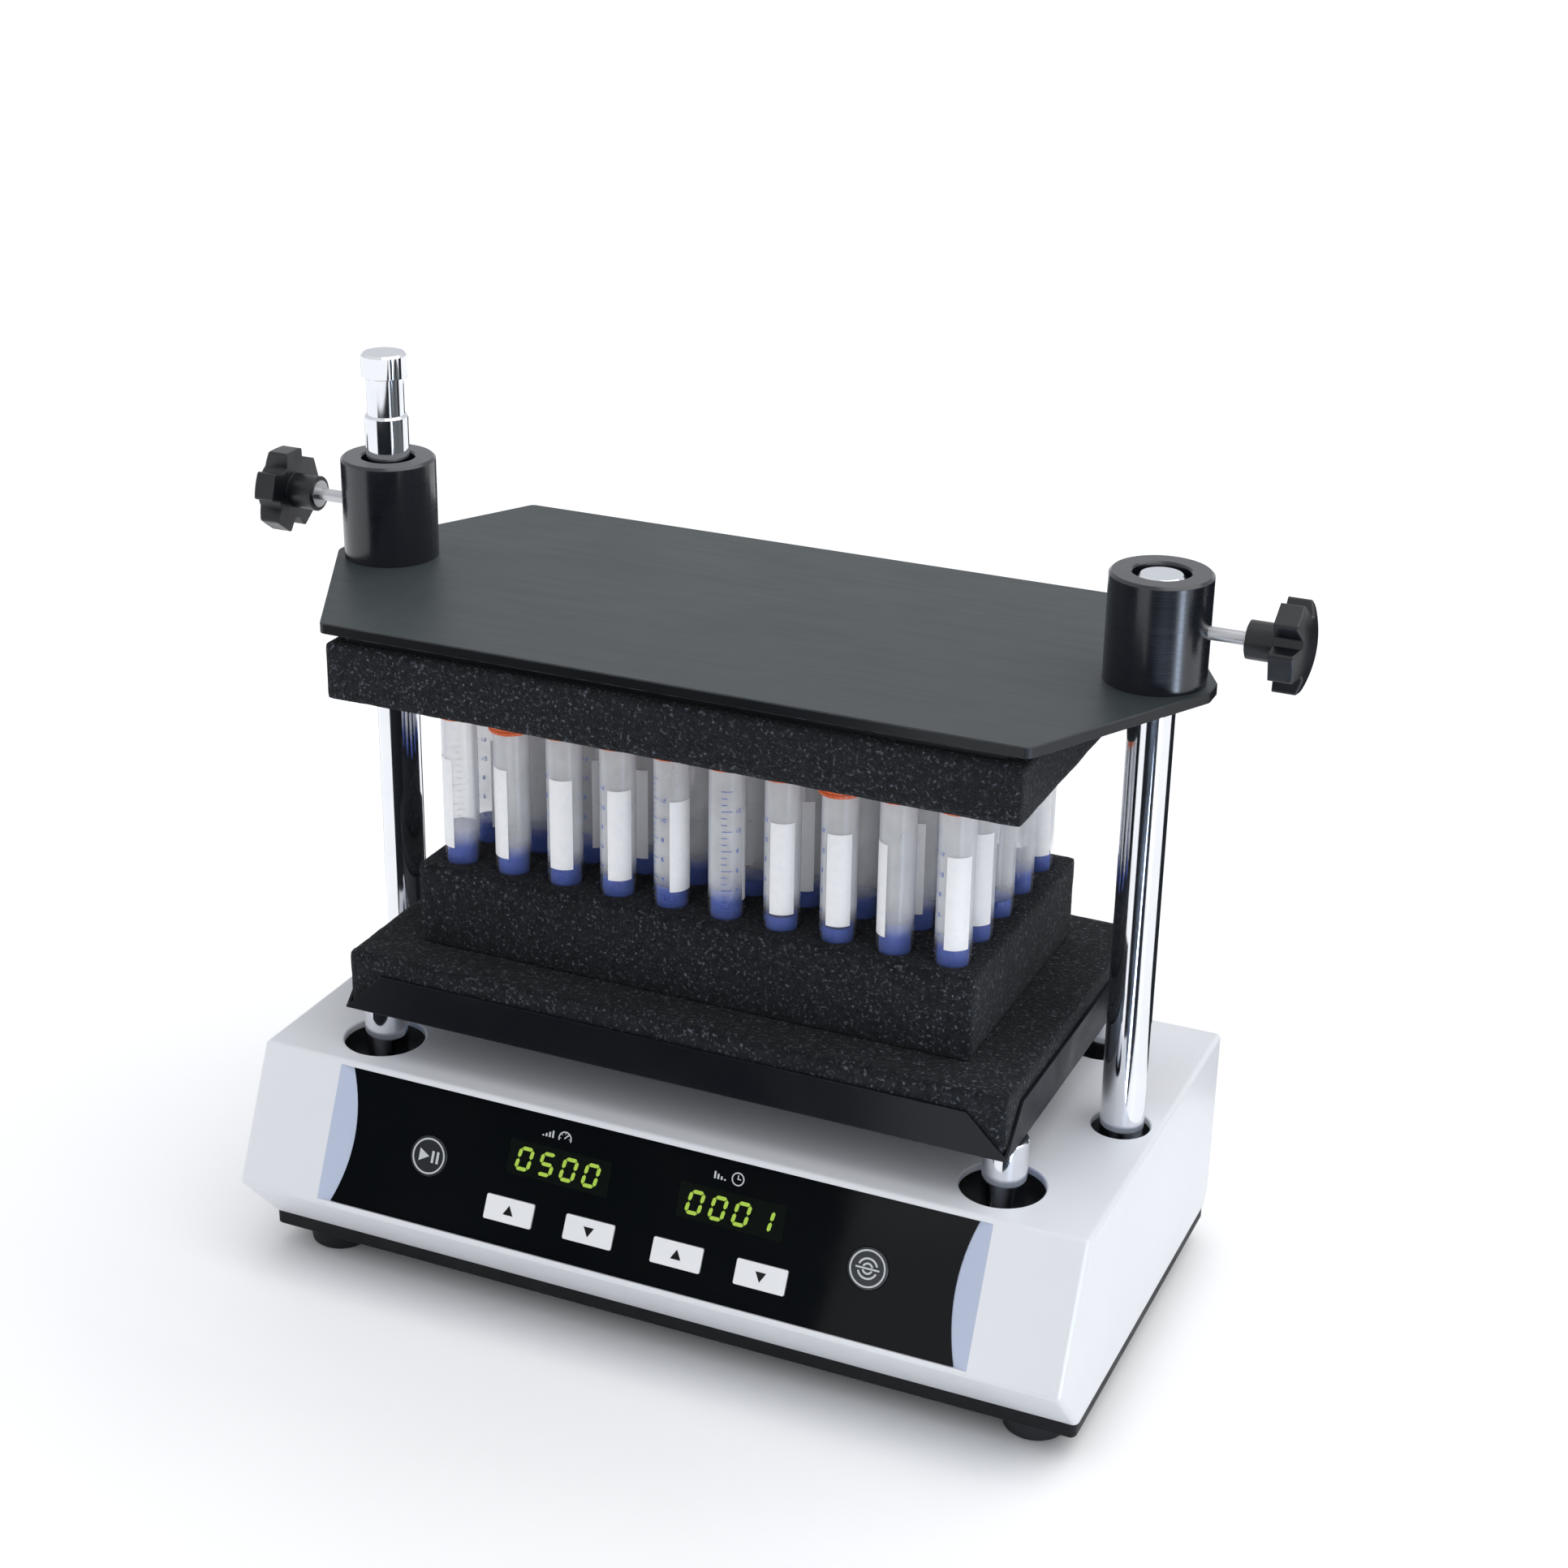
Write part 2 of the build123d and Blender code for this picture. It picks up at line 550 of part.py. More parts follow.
with BuildPart() as left_tall_post:
    with BuildSketch(Plane(origin=(-TALL_X, CY, 0), x_dir=(1, 0, 0), z_dir=(0, -1, 0))):
        Polygon((0, 80), (6, 80), (6, CARR_TOP), (POST_R - 0.5, CARR_TOP), (POST_R, CARR_TOP + 0.5),
                (POST_R, NECK_Z0 - 0.8), (POST_R - 0.8, NECK_Z0), (9.0, NECK_Z0), (9.0, NECK_Z1),
                (11.0, NECK_Z1), (11.0, POST_TOP - 1.0), (10.0, POST_TOP), (0, POST_TOP), align=None)
    revolve(axis=Axis((-TALL_X, CY, 0), (0, 0, 1)))
save(left_tall_post, "left_tall_post")

with BuildPart() as right_tall_post:
    with BuildSketch(Plane(origin=(TALL_X, CY, 0), x_dir=(1, 0, 0), z_dir=(0, -1, 0))):
        Polygon((0, 80), (6, 80), (6, CARR_TOP), (POST_R - 0.5, CARR_TOP), (POST_R, CARR_TOP + 0.5),
                (POST_R, RIGHT_POST_TOP - 1.2), (POST_R - 1.2, RIGHT_POST_TOP), (0, RIGHT_POST_TOP), align=None)
    revolve(axis=Axis((TALL_X, CY, 0), (0, 0, 1)))
save(right_tall_post, "right_tall_post")

with BuildPart() as post_nuts:
    with BuildSketch(Plane.XY.offset(83.5)):
        with Locations(*(SHORT_POSTS + TALL_POSTS)):
            RegularPolygon(10.4, 6)
            Circle(6.05, mode=Mode.SUBTRACT)
    extrude(amount=8.5)
save(post_nuts, "post_nuts")

with BuildPart() as sample_tray:
    with BuildSketch(Plane.XY.offset(TRAY_Z)):
        with Locations((0, CY)):
            Rectangle(2 * TRAY_X, 2 * TRAY_Y)
        with Locations(*SHORT_POSTS):
            Circle(2.75, mode=Mode.SUBTRACT)
    extrude(amount=TRAY_T)
    # front and rear flanges, ends cut back at an angle
    for ys in (CY - TRAY_Y, CY + TRAY_Y - TRAY_T):
        with BuildSketch(Plane(origin=(0, ys, 0), x_dir=(1, 0, 0), z_dir=(0, -1, 0))):
            Polygon((-TRAY_X + 0.6, TRAY_Z + TRAY_T), (TRAY_X - 0.6, TRAY_Z + TRAY_T),
                    (TRAY_X - MITRE, FLANGE_TOP), (-TRAY_X + MITRE, FLANGE_TOP), align=None)
        extrude(amount=-TRAY_T)
    # end flanges
    for xs in (-TRAY_X, TRAY_X - TRAY_T):
        with BuildSketch(Plane(origin=(xs, CY, 0), x_dir=(0, 1, 0), z_dir=(1, 0, 0))):
            Polygon((-TRAY_Y + 0.6, TRAY_Z + TRAY_T), (TRAY_Y - 0.6, TRAY_Z + TRAY_T),
                    (TRAY_Y - MITRE, FLANGE_TOP), (-TRAY_Y + MITRE, FLANGE_TOP), align=None)
        extrude(amount=TRAY_T)
    # rounded bends along the lower outer edges
    low = sample_tray.faces().sort_by(Axis.Z)[0].edges().filter_by(GeomType.LINE)
    fillet(low, radius=1.0)
save(sample_tray, "sample_tray")

with BuildPart() as tray_screws:
    with Locations(*[(px, py, TRAY_Z + TRAY_T) for px, py in SHORT_POSTS]):
        Cylinder(5.0, 2.8, align=(Align.CENTER, Align.CENTER, Align.MIN))
    fillet(tray_screws.edges().group_by(Axis.Z)[-1], radius=1.4)
    with Locations(*[(px, py, TRAY_Z - 15) for px, py in SHORT_POSTS]):
        Cylinder(2.5, 15 + TRAY_T, align=(Align.CENTER, Align.CENTER, Align.MIN))
save(tray_screws, "tray_screws")

with BuildPart() as tray_foam:
    with BuildSketch(Plane.XY.offset(TRAY_Z + TRAY_T)):
        with Locations((0, CY)):
            Rectangle(2 * (TRAY_X - TRAY_T), 2 * (TRAY_Y - TRAY_T))
    extrude(amount=FOAM_TOP - TRAY_Z - TRAY_T)
    with BuildSketch(Plane.XY.offset(TRAY_Z + TRAY_T)):
        with Locations(*SHORT_POSTS):
            Circle(6)
    extrude(amount=4, mode=Mode.SUBTRACT)
save(tray_foam, "tray_foam")

TUBES = [((i - 4.5) * PITCH, CY + (j - 2) * PITCH) for j in range(5) for i in range(10)]

with BuildPart() as tube_rack:
    with BuildSketch(Plane.XY.offset(FOAM_TOP)):
        with Locations((0, CY)):
            Rectangle(2 * RACK_X, 2 * RACK_Y)
    extrude(amount=RACK_TOP - FOAM_TOP)
    chamfer(tube_rack.faces().sort_by(Axis.Z)[-1].edges(), length=1.5)
    with BuildSketch(Plane.XY.offset(RACK_TOP + 1)):
        with Locations(*TUBES):
            Circle(TUBE_R + 0.25)
    extrude(amount=-(RACK_TOP + 1 - TUBE_BOTTOM + 0.2), mode=Mode.SUBTRACT)
save(tube_rack, "tube_rack")

CONE_H = 22.0
TUBE_TOP = TUBE_BOTTOM + TUBE_LEN - 1.6
with BuildPart() as one_tube:
    with BuildSketch(Plane.XZ):
        Polygon((0, TUBE_BOTTOM), (2.2, TUBE_BOTTOM), (TUBE_R, TUBE_BOTTOM + CONE_H), (TUBE_R, TUBE_TOP),
                (TUBE_R - TUBE_WALL, TUBE_TOP), (TUBE_R - TUBE_WALL, TUBE_BOTTOM + CONE_H + 0.5),
                (1.4, TUBE_BOTTOM + 2.0), (0, TUBE_BOTTOM + 2.0), align=None)
    revolve(axis=Axis.Z)
with BuildPart() as sample_tubes:
    with Locations(*TUBES):
        add(one_tube.part)
save(sample_tubes, "sample_tubes")

CAP_TOP = TUBE_BOTTOM + TUBE_LEN
with BuildPart() as one_cap:
    with BuildSketch(Plane.XZ):
        Polygon((0, CAP_TOP), (CAP_R - 0.8, CAP_TOP), (CAP_R, CAP_TOP - 0.8), (CAP_R, CAP_TOP - CAP_H),
                (TUBE_R + 0.1, CAP_TOP - CAP_H), (TUBE_R + 0.1, TUBE_TOP + 0.1), (0, TUBE_TOP + 0.1), align=None)
    revolve(axis=Axis.Z)
with BuildPart() as tube_caps:
    with Locations(*TUBES):
        add(one_cap.part)
save(tube_caps, "tube_caps")

# ---------------------------------------------------------------- clamp
def plate_outline():
    return [(-PLATE_X, -PLATE_Y), (PLATE_X, -PLATE_Y), (TIP_X, -6), (TIP_X, 6), (PLATE_X, PLATE_Y),
            (-PLATE_X, PLATE_Y), (-TIP_X, 6), (-TIP_X, -6)]


COLLAR_SCREWS = [(cx + 17 * cos(radians(a)), CY + 17 * sin(radians(a)))
                 for cx, a0 in ((-TALL_X, 0), (TALL_X, 180)) for a in (a0, a0 + 115, a0 - 115)]
BACK_SCREWS = [(-140, CY - 75), (140, CY - 75), (-140, CY + 75), (140, CY + 75)]

with BuildPart() as clamp_plate:
    with BuildSketch(Plane.XY.offset(PLATE_Z0)):
        with Locations((0, CY)):
            Polygon(*plate_outline(), align=None)
    extrude(amount=PLATE_Z1 - PLATE_Z0)
    vertical = clamp_plate.edges().filter_by(Axis.Z)
    fillet([e for e in vertical if abs(e.center().X) > 200], radius=5)
    fillet([e for e in clamp_plate.edges().filter_by(Axis.Z) if abs(abs(e.center().X) - PLATE_X) < 1], radius=4)
    chamfer(clamp_plate.faces().sort_by(Axis.Z)[-1].edges(), length=0.5)
    with BuildSketch(Plane.XY.offset(PLATE_Z0 - 1)):
        with Locations(*TALL_POSTS):
            Circle(POST_R + 0.45)
        with Locations(*COLLAR_SCREWS):
            Circle(2.2)
    extrude(amount=10, mode=Mode.SUBTRACT)
save(clamp_plate, "clamp_plate")

with BuildPart() as backing_plate:
    with BuildSketch(Plane.XY.offset(PAD_Z1)):
        with Locations((0, CY)):
            RectangleRounded(326, 190, 4)
    extrude(amount=PLATE_Z0 - PAD_Z1)
save(backing_plate, "backing_plate")

with BuildPart() as upper_foam:
    with BuildSketch(Plane.XY.offset(PAD_Z0)):
        with Locations((0, CY)):
            Rectangle(339, 202.2)
    extrude(amount=PAD_Z1 - PAD_Z0)
save(upper_foam, "upper_foam")

with BuildPart() as post_collars:
    for cx in (-TALL_X, TALL_X):
        with BuildSketch(Plane(origin=(cx, CY, 0), x_dir=(1, 0, 0), z_dir=(0, -1, 0))):
            Polygon((COLLAR_BORE, PLATE_Z1), (COLLAR_R, PLATE_Z1), (COLLAR_R, COLLAR_TOP - 1.2),
                    (COLLAR_R - 1.2, COLLAR_TOP), (CBORE_R + 0.8, COLLAR_TOP), (CBORE_R, COLLAR_TOP - 0.8),
                    (CBORE_R, COLLAR_TOP - CBORE_D), (COLLAR_BORE, COLLAR_TOP - CBORE_D), align=None)
        revolve(axis=Axis((cx, CY, 0), (0, 0, 1)))
    # tapped holes for the clamp screws, one in each collar's outer side
    with BuildSketch(Plane(origin=(-TALL_X - 9, CY, KNOB_Z), x_dir=(0, 1, 0), z_dir=(-1, 0, 0))):
        Circle(STUD_R + 0.06)
    extrude(amount=16, mode=Mode.SUBTRACT)
    with BuildSketch(Plane(origin=(TALL_X + 9, CY, KNOB_Z), x_dir=(0, 1, 0), z_dir=(1, 0, 0))):
        Circle(STUD_R + 0.06)
    extrude(amount=16, mode=Mode.SUBTRACT)
    with BuildSketch(Plane.XY.offset(PLATE_Z1)):
        with Locations(*COLLAR_SCREWS):
            Circle(2.05)
    extrude(amount=12, mode=Mode.SUBTRACT)
save(post_collars, "post_collars")

with BuildPart() as collar_screws:
    with Locations(*[(sx, sy, PLATE_Z0 - 3.0) for sx, sy in COLLAR_SCREWS]):
        Cylinder(3.5, 3.0, align=(Align.CENTER, Align.CENTER, Align.MIN))
    fillet(collar_screws.edges().group_by(Axis.Z)[0], radius=1.2)
    with Locations(*[(sx, sy, PLATE_Z0) for sx, sy in COLLAR_SCREWS]):
        Cylinder(2.0, 14, align=(Align.CENTER, Align.CENTER, Align.MIN))
save(collar_screws, "collar_screws")

# ---------------------------------------------------------------- clamp screws
PAD_LEN = 3.6
PAD_GAP = 0.3
HUB_X, HEAD_X, HEAD_T = 234.5, 248.0, 15.0
LOBE_R, DOME_R = 19.9, 49.7   # reach of the lobes, radius of the domed outer face

for side, sgn in (("left", -1), ("right", 1)):
    x_pad = TALL_X + POST_R + PAD_GAP
    with BuildPart() as pad:
        with BuildSketch(Plane(origin=(sgn * x_pad, CY, KNOB_Z), x_dir=(0, 1, 0), z_dir=(sgn, 0, 0))):
            Circle(STUD_R - 0.35)
        extrude(amount=PAD_LEN)
    save(pad, side + "_pressure_pad")

    with BuildPart() as stud:
        with BuildSketch(Plane(origin=(sgn * (x_pad + PAD_LEN + 0.05), CY, KNOB_Z), x_dir=(0, 1, 0), z_dir=(sgn, 0, 0))):
            Circle(STUD_R)
        extrude(amount=HEAD_X + 8 - (x_pad + PAD_LEN + 0.05))
        # steel insert that shows at the hub's inner end
        with BuildSketch(Plane(origin=(sgn * (HUB_X - 0.8), CY, KNOB_Z), x_dir=(0, 1, 0), z_dir=(sgn, 0, 0))):
            Circle(6.6)
        extrude(amount=0.8)
    save(stud, side + "_clamp_stud")

    with BuildPart() as knob:
        with BuildSketch(Plane(origin=(sgn * HUB_X, CY, KNOB_Z), x_dir=(0, 1, 0), z_dir=(sgn, 0, 0))):
            Circle(8.6)
        extrude(amount=HEAD_X - HUB_X)
        with BuildSketch(Plane(origin=(sgn * HEAD_X, CY, KNOB_Z), x_dir=(0, 1, 0), z_dir=(sgn, 0, 0))):
            Circle(14.2)
            with PolarLocations(LOBE_R - 7.7, 5, start_angle=121 if sgn > 0 else 270):
                RectangleRounded(15.4, 13.6, 1.3)
        extrude(amount=HEAD_T)
        # domed outer face
        end = HEAD_X + HEAD_T
        with BuildSketch(Plane(origin=(0, CY, KNOB_Z), x_dir=(sgn, 0, 0), z_dir=(0, -sgn, 0))):
            with BuildLine():
                ThreePointArc((end - DOME_R + sqrt(DOME_R**2 - 24**2), 24), (end - DOME_R + sqrt(DOME_R**2 - 12**2), 12), (end, 0))
                Polyline((end, 0), (HUB_X - 1, 0), (HUB_X - 1, 24), (end - DOME_R + sqrt(DOME_R**2 - 24**2), 24))
            make_face()
        revolve(axis=Axis((0, CY, KNOB_Z), (1, 0, 0)), mode=Mode.INTERSECT)
        outer = knob.faces().sort_by(Axis.X)[-1 if sgn > 0 else 0]
        fillet(outer.edges(), radius=0.9)
        with BuildSketch(Plane(origin=(sgn * HUB_X, CY, KNOB_Z), x_dir=(0, 1, 0), z_dir=(sgn, 0, 0))):
            Circle(STUD_R)
        extrude(amount=HEAD_X + 8 - HUB_X, mode=Mode.SUBTRACT)
    save(knob, side + "_star_knob")

# ---------------------------------------------------------------- rear mains inlet and switch
PIN_X = (-7.0, 0.0, 7.0)
with BuildPart() as mains_inlet:
    with BuildSketch(Plane(origin=(INLET_X, REAR_Y, REAR_PART_Z), x_dir=(1, 0, 0), z_dir=(0, -1, 0))):
        Rectangle(27.8, 24.8)
    extrude(amount=24)
    with BuildSketch(Plane(origin=(INLET_X, REAR_Y, REAR_PART_Z), x_dir=(1, 0, 0), z_dir=(0, -1, 0))):
        RectangleRounded(36, 32, 3)
    extrude(amount=-3.0)
    with BuildSketch(Plane(origin=(INLET_X, REAR_Y + 4, REAR_PART_Z), x_dir=(1, 0, 0), z_dir=(0, -1, 0))):
        Polygon((-12.2, -8.5), (12.2, -8.5), (12.2, 4.5), (8.2, 8.5), (-8.2, 8.5), (-12.2, 4.5), align=None)
    extrude(amount=21, mode=Mode.SUBTRACT)
    with BuildSketch(Plane(origin=(INLET_X, REAR_Y - 17, REAR_PART_Z), x_dir=(1, 0, 0), z_dir=(0, -1, 0))):
        with Locations((-7, -1), (7, -1), (0, 3)):
            Rectangle(2, 4)
    extrude(amount=-15)
save(mains_inlet, "mains_inlet")

ROCK_R = 11.4
with BuildPart() as switch_bezel:
    with BuildSketch(Plane(origin=(SWITCH_X, REAR_Y, REAR_PART_Z), x_dir=(1, 0, 0), z_dir=(0, -1, 0))):
        Rectangle(18.8, 26.8)
    extrude(amount=20)
    with BuildSketch(Plane(origin=(SWITCH_X, REAR_Y, REAR_PART_Z), x_dir=(1, 0, 0), z_dir=(0, -1, 0))):
        RectangleRounded(23, 31, 2)
    extrude(amount=-2.0)
    with BuildSketch(Plane(origin=(SWITCH_X, REAR_Y + 3, REAR_PART_Z), x_dir=(1, 0, 0), z_dir=(0, -1, 0))):
        Rectangle(15.4, 2 * ROCK_R + 0.7)
    extrude(amount=18, mode=Mode.SUBTRACT)
save(switch_bezel, "switch_bezel")

PIVOT_Y = REAR_Y - 3.0
TIP = 9.0                   # rocker tilt each way
with BuildPart() as power_rocker:
    # a drum about the pivot, its outer side cut to a shallow vee
    with BuildSketch(Plane(origin=(SWITCH_X, PIVOT_Y, REAR_PART_Z), x_dir=(0, 1, 0), z_dir=(1, 0, 0))):
        Circle(ROCK_R)
        Polygon((4.2, 0), (4.2 + 14 * sin(radians(TIP)), 14), (20, 14), (20, -14),
                (4.2 + 14 * sin(radians(TIP)), -14), align=None, mode=Mode.SUBTRACT)
        Polygon((-4, -14), (-14, -14), (-14, 14), (-4, 14), align=None, mode=Mode.SUBTRACT)
    extrude(amount=7.5, both=True)
power_rocker.part = power_rocker.part.rotate(Axis((SWITCH_X, PIVOT_Y, REAR_PART_Z), (1, 0, 0)), TIP)
save(power_rocker, "power_rocker")

# ---------------------------------------------------------------- electronics in the base
with BuildPart() as driver_board:
    with BuildSketch(Plane.XY.offset(28)):
        with Locations((-171, -12)):
            Rectangle(50, 110)
            with GridLocations(42, 102, 2, 2):
                Circle(1.7, mode=Mode.SUBTRACT)
    extrude(amount=1.6)
    with BuildSketch(Plane.XY.offset(29.6)):
        with Locations((-184, -10)):
            Rectangle(12, 70)
            with GridLocations(0, 8, 1, 8):
                with Locations((2, 0)):
                    Rectangle(8, 4, mode=Mode.SUBTRACT)
    extrude(amount=24)
    with BuildSketch(Plane.XY.offset(29.6)):
        with Locations((-160, 18), (-160, -4)):
            Circle(8)
    extrude(amount=26)
    with BuildSketch(Plane.XY.offset(29.6)):
        with Locations((-152, -42), (-166, -50)):
            Rectangle(9, 14)
    extrude(amount=8)
save(driver_board, "driver_board")

with BuildPart() as power_supply:
    with BuildSketch(Plane.XY.offset(28)):
        with Locations((171, -8)):
            Rectangle(50, 120)
            with GridLocations(42, 112, 2, 2):
                Circle(1.7, mode=Mode.SUBTRACT)
    extrude(amount=1.6)
    with BuildSketch(Plane.XY.offset(29.6)):
        with Locations((168, -6)):
            RectangleRounded(34, 38, 3)
    extrude(amount=28)
    with BuildSketch(Plane.XY.offset(29.6)):
        with Locations((164, 34), (184, 34)):
            Circle(8.5)
    extrude(amount=30)
    with BuildSketch(Plane.XY.offset(29.6)):
        with Locations((160, -48)):
            Rectangle(14, 20)
    extrude(amount=12)
save(power_supply, "power_supply")

with BuildPart() as board_standoffs:
    with BuildSketch(Plane.XY.offset(SKIRT_Z)):
        with Locations((-171, -12)):
            with GridLocations(42, 102, 2, 2):
                Circle(3.2)
        with Locations((171, -8)):
            with GridLocations(42, 112, 2, 2):
                Circle(3.2)
    extrude(amount=8)
    with BuildSketch(Plane(origin=panel_point(0, 38, PCB_D), x_dir=(1, 0, 0), z_dir=NRM)):
        with GridLocations(286, 38, 2, 2):
            Circle(3.2)
    extrude(amount=PCB_D - FRONT_WALL - 0.05)
save(board_standoffs, "board_standoffs")

# wiring: motor lead, mains lead along the rear wall, display lead
def lead(points, bends, r):
    with BuildPart() as one:
        with BuildLine() as path:
            FilletPolyline(*points, radius=bends)
        with BuildSketch(Plane(origin=path.line @ 0, z_dir=path.line % 0)):
            Circle(r)
        sweep()
    return one.part


motor_lead = lead([(-42.1, 14, 40), (-80, 14, 40), (-110, -20, 36), (-145.9, -24, 36)], 14, 2.6)
mains_lead = lead([(INLET_X, 92, 47.4), (INLET_X, 92, 36), (171, 92, 36), (171, 52.2, 36)], 5.5, 2.8)
p_a = panel_point(-130, 50, PCB_D + 1.7)
display_lead = lead([(p_a.X, p_a.Y, p_a.Z), (p_a.X, p_a.Y + 16, p_a.Z - 7.3), (p_a.X, -78, 42), (-145.2, -46, 34)], 7, 2.2)
with BuildPart() as wiring_harness:
    add(motor_lead)
    add(mains_lead)
    add(display_lead)
save(wiring_harness, "wiring_harness")

print(len(PART_NAMES), "parts")
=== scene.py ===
import json
import math
import random

import bpy
import bmesh
import numpy as np
from mathutils import Matrix, Vector
from mathutils.geometry import tessellate_polygon


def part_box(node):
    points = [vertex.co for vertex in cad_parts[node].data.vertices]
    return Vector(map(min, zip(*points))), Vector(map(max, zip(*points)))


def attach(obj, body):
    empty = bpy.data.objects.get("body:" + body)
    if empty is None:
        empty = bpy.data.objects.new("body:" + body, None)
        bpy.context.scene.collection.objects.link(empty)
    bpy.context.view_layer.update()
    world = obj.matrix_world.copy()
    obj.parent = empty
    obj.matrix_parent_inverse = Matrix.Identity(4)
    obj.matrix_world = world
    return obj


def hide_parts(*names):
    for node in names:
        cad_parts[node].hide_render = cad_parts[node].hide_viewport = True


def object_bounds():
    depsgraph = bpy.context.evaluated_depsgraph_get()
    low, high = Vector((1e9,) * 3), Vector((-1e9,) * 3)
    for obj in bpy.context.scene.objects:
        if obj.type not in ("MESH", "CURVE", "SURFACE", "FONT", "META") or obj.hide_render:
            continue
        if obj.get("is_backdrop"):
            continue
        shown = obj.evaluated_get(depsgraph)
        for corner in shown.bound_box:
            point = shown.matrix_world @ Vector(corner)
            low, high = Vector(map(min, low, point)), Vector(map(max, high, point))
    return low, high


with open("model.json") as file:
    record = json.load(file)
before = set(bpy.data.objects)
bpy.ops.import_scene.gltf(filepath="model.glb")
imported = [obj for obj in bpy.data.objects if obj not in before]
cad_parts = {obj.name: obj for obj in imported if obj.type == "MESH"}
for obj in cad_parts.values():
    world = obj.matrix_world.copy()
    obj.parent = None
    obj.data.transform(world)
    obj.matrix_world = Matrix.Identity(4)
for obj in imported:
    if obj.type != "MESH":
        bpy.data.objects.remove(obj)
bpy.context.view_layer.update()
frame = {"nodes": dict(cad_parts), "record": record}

SCENE = bpy.context.scene
COL = SCENE.collection
NODES = frame["nodes"]
SLOT_OF = {s["node"]: s["material_slot"] for s in frame["record"]["subparts"]}
RNG = random.Random(7)

# ------------------------------------------------------------------ camera
cam_data = bpy.data.cameras.new("camera")
cam_data.sensor_width = 36.0
cam_data.lens = 62.667
cam_data.clip_start, cam_data.clip_end = 0.05, 60.0
cam = bpy.data.objects.new("camera", cam_data)
COL.objects.link(cam)
cam.matrix_world = Matrix((
    (0.914008, -0.172394, 0.367246, 0.493129),
    (0.405415, 0.354443, -0.842620, -1.078844),
    (0.015095, 0.919049, 0.393855, 0.765789),
    (0.0, 0.0, 0.0, 1.0),
))
SCENE.camera = cam
SCENE.view_settings.view_transform = "Standard"


# ------------------------------------------------------------------ small helpers
def add_object(name, mesh):
    ob = bpy.data.objects.new(name, mesh)
    COL.objects.link(ob)
    return ob


def mesh_object(name, verts, faces, smooth=True):
    me = bpy.data.meshes.new(name)
    me.from_pydata([tuple(v) for v in verts], [], [tuple(f) for f in faces])
    me.validate()
    me.update()
    if smooth:
        me.shade_smooth()
    return add_object(name, me)


def apply_modifiers(ob):
    dg = bpy.context.evaluated_depsgraph_get()
    new = bpy.data.meshes.new_from_object(ob.evaluated_get(dg))
    old = ob.data
    ob.modifiers.clear()
    ob.data = new
    bpy.data.meshes.remove(old)


class Mesh:
    """Collects vertices and faces of one piece."""

    def __init__(self):
        self.v, self.f = [], []

    def add(self, verts, faces):
        n = len(self.v)
        self.v.extend([tuple(p) for p in verts])
        self.f.extend([tuple(i + n for i in f) for f in faces])

    def lathe(self, centre, profile, seg, closed_bottom=False, closed_top=False, radius=None):
        """A turned form about a vertical axis. profile is (r, z) from bottom to top."""
        cx, cy = centre
        verts, faces = [], []
        for r, z in profile:
            for k in range(seg):
                a = 2 * math.pi * k / seg
                rr = r if radius is None else radius(r, z, a)
                verts.append((cx + rr * math.cos(a), cy + rr * math.sin(a), z))
        for i in range(len(profile) - 1):
            for k in range(seg):
                a, b = i * seg + k, i * seg + (k + 1) % seg
                faces.append((a, b, b + seg, a + seg))
        if closed_bottom:
            faces.append(tuple(reversed(range(seg))))
        if closed_top:
            faces.append(tuple((len(profile) - 1) * seg + k for k in range(seg)))
        self.add(verts, faces)

    def strip(self, centre, radius, a0, a1, z0, z1, thick, steps):
        """A thin curved label on a round wall, closed on all sides."""
        cx, cy = centre
        verts, faces = [], []
        for i in range(steps + 1):
            a = a0 + (a1 - a0) * i / steps
            c, s = math.cos(a), math.sin(a)
            for r in (radius, radius + thick):
                for z in (z0, z1):
                    verts.append((cx + r * c, cy + r * s, z))
        for i in range(steps):
            p, q = 4 * i, 4 * i + 4
            faces += [(p + 2, q + 2, q + 3, p + 3), (p, p + 1, q + 1, q), (p + 1, p + 3, q + 3, q + 1), (p, q, q + 2, p + 2)]
        faces += [(0, 2, 3, 1), (4 * steps, 4 * steps + 1, 4 * steps + 3, 4 * steps + 2)]
        self.add(verts, faces)

    def build(self, name, smooth=True):
        return mesh_object(name, self.v, self.f, smooth)


def flat_angle(ob, degrees=35):
    """Smooth shading that keeps edges sharper than this angle."""
    me = ob.data
    me.shade_smooth()
    bm = bmesh.new()
    bm.from_mesh(me)
    lim = math.radians(degrees)
    for e in bm.edges:
        e.smooth = not (len(e.link_faces) != 2 or e.calc_face_angle(0) > lim)
    bm.to_mesh(me)
    bm.free()


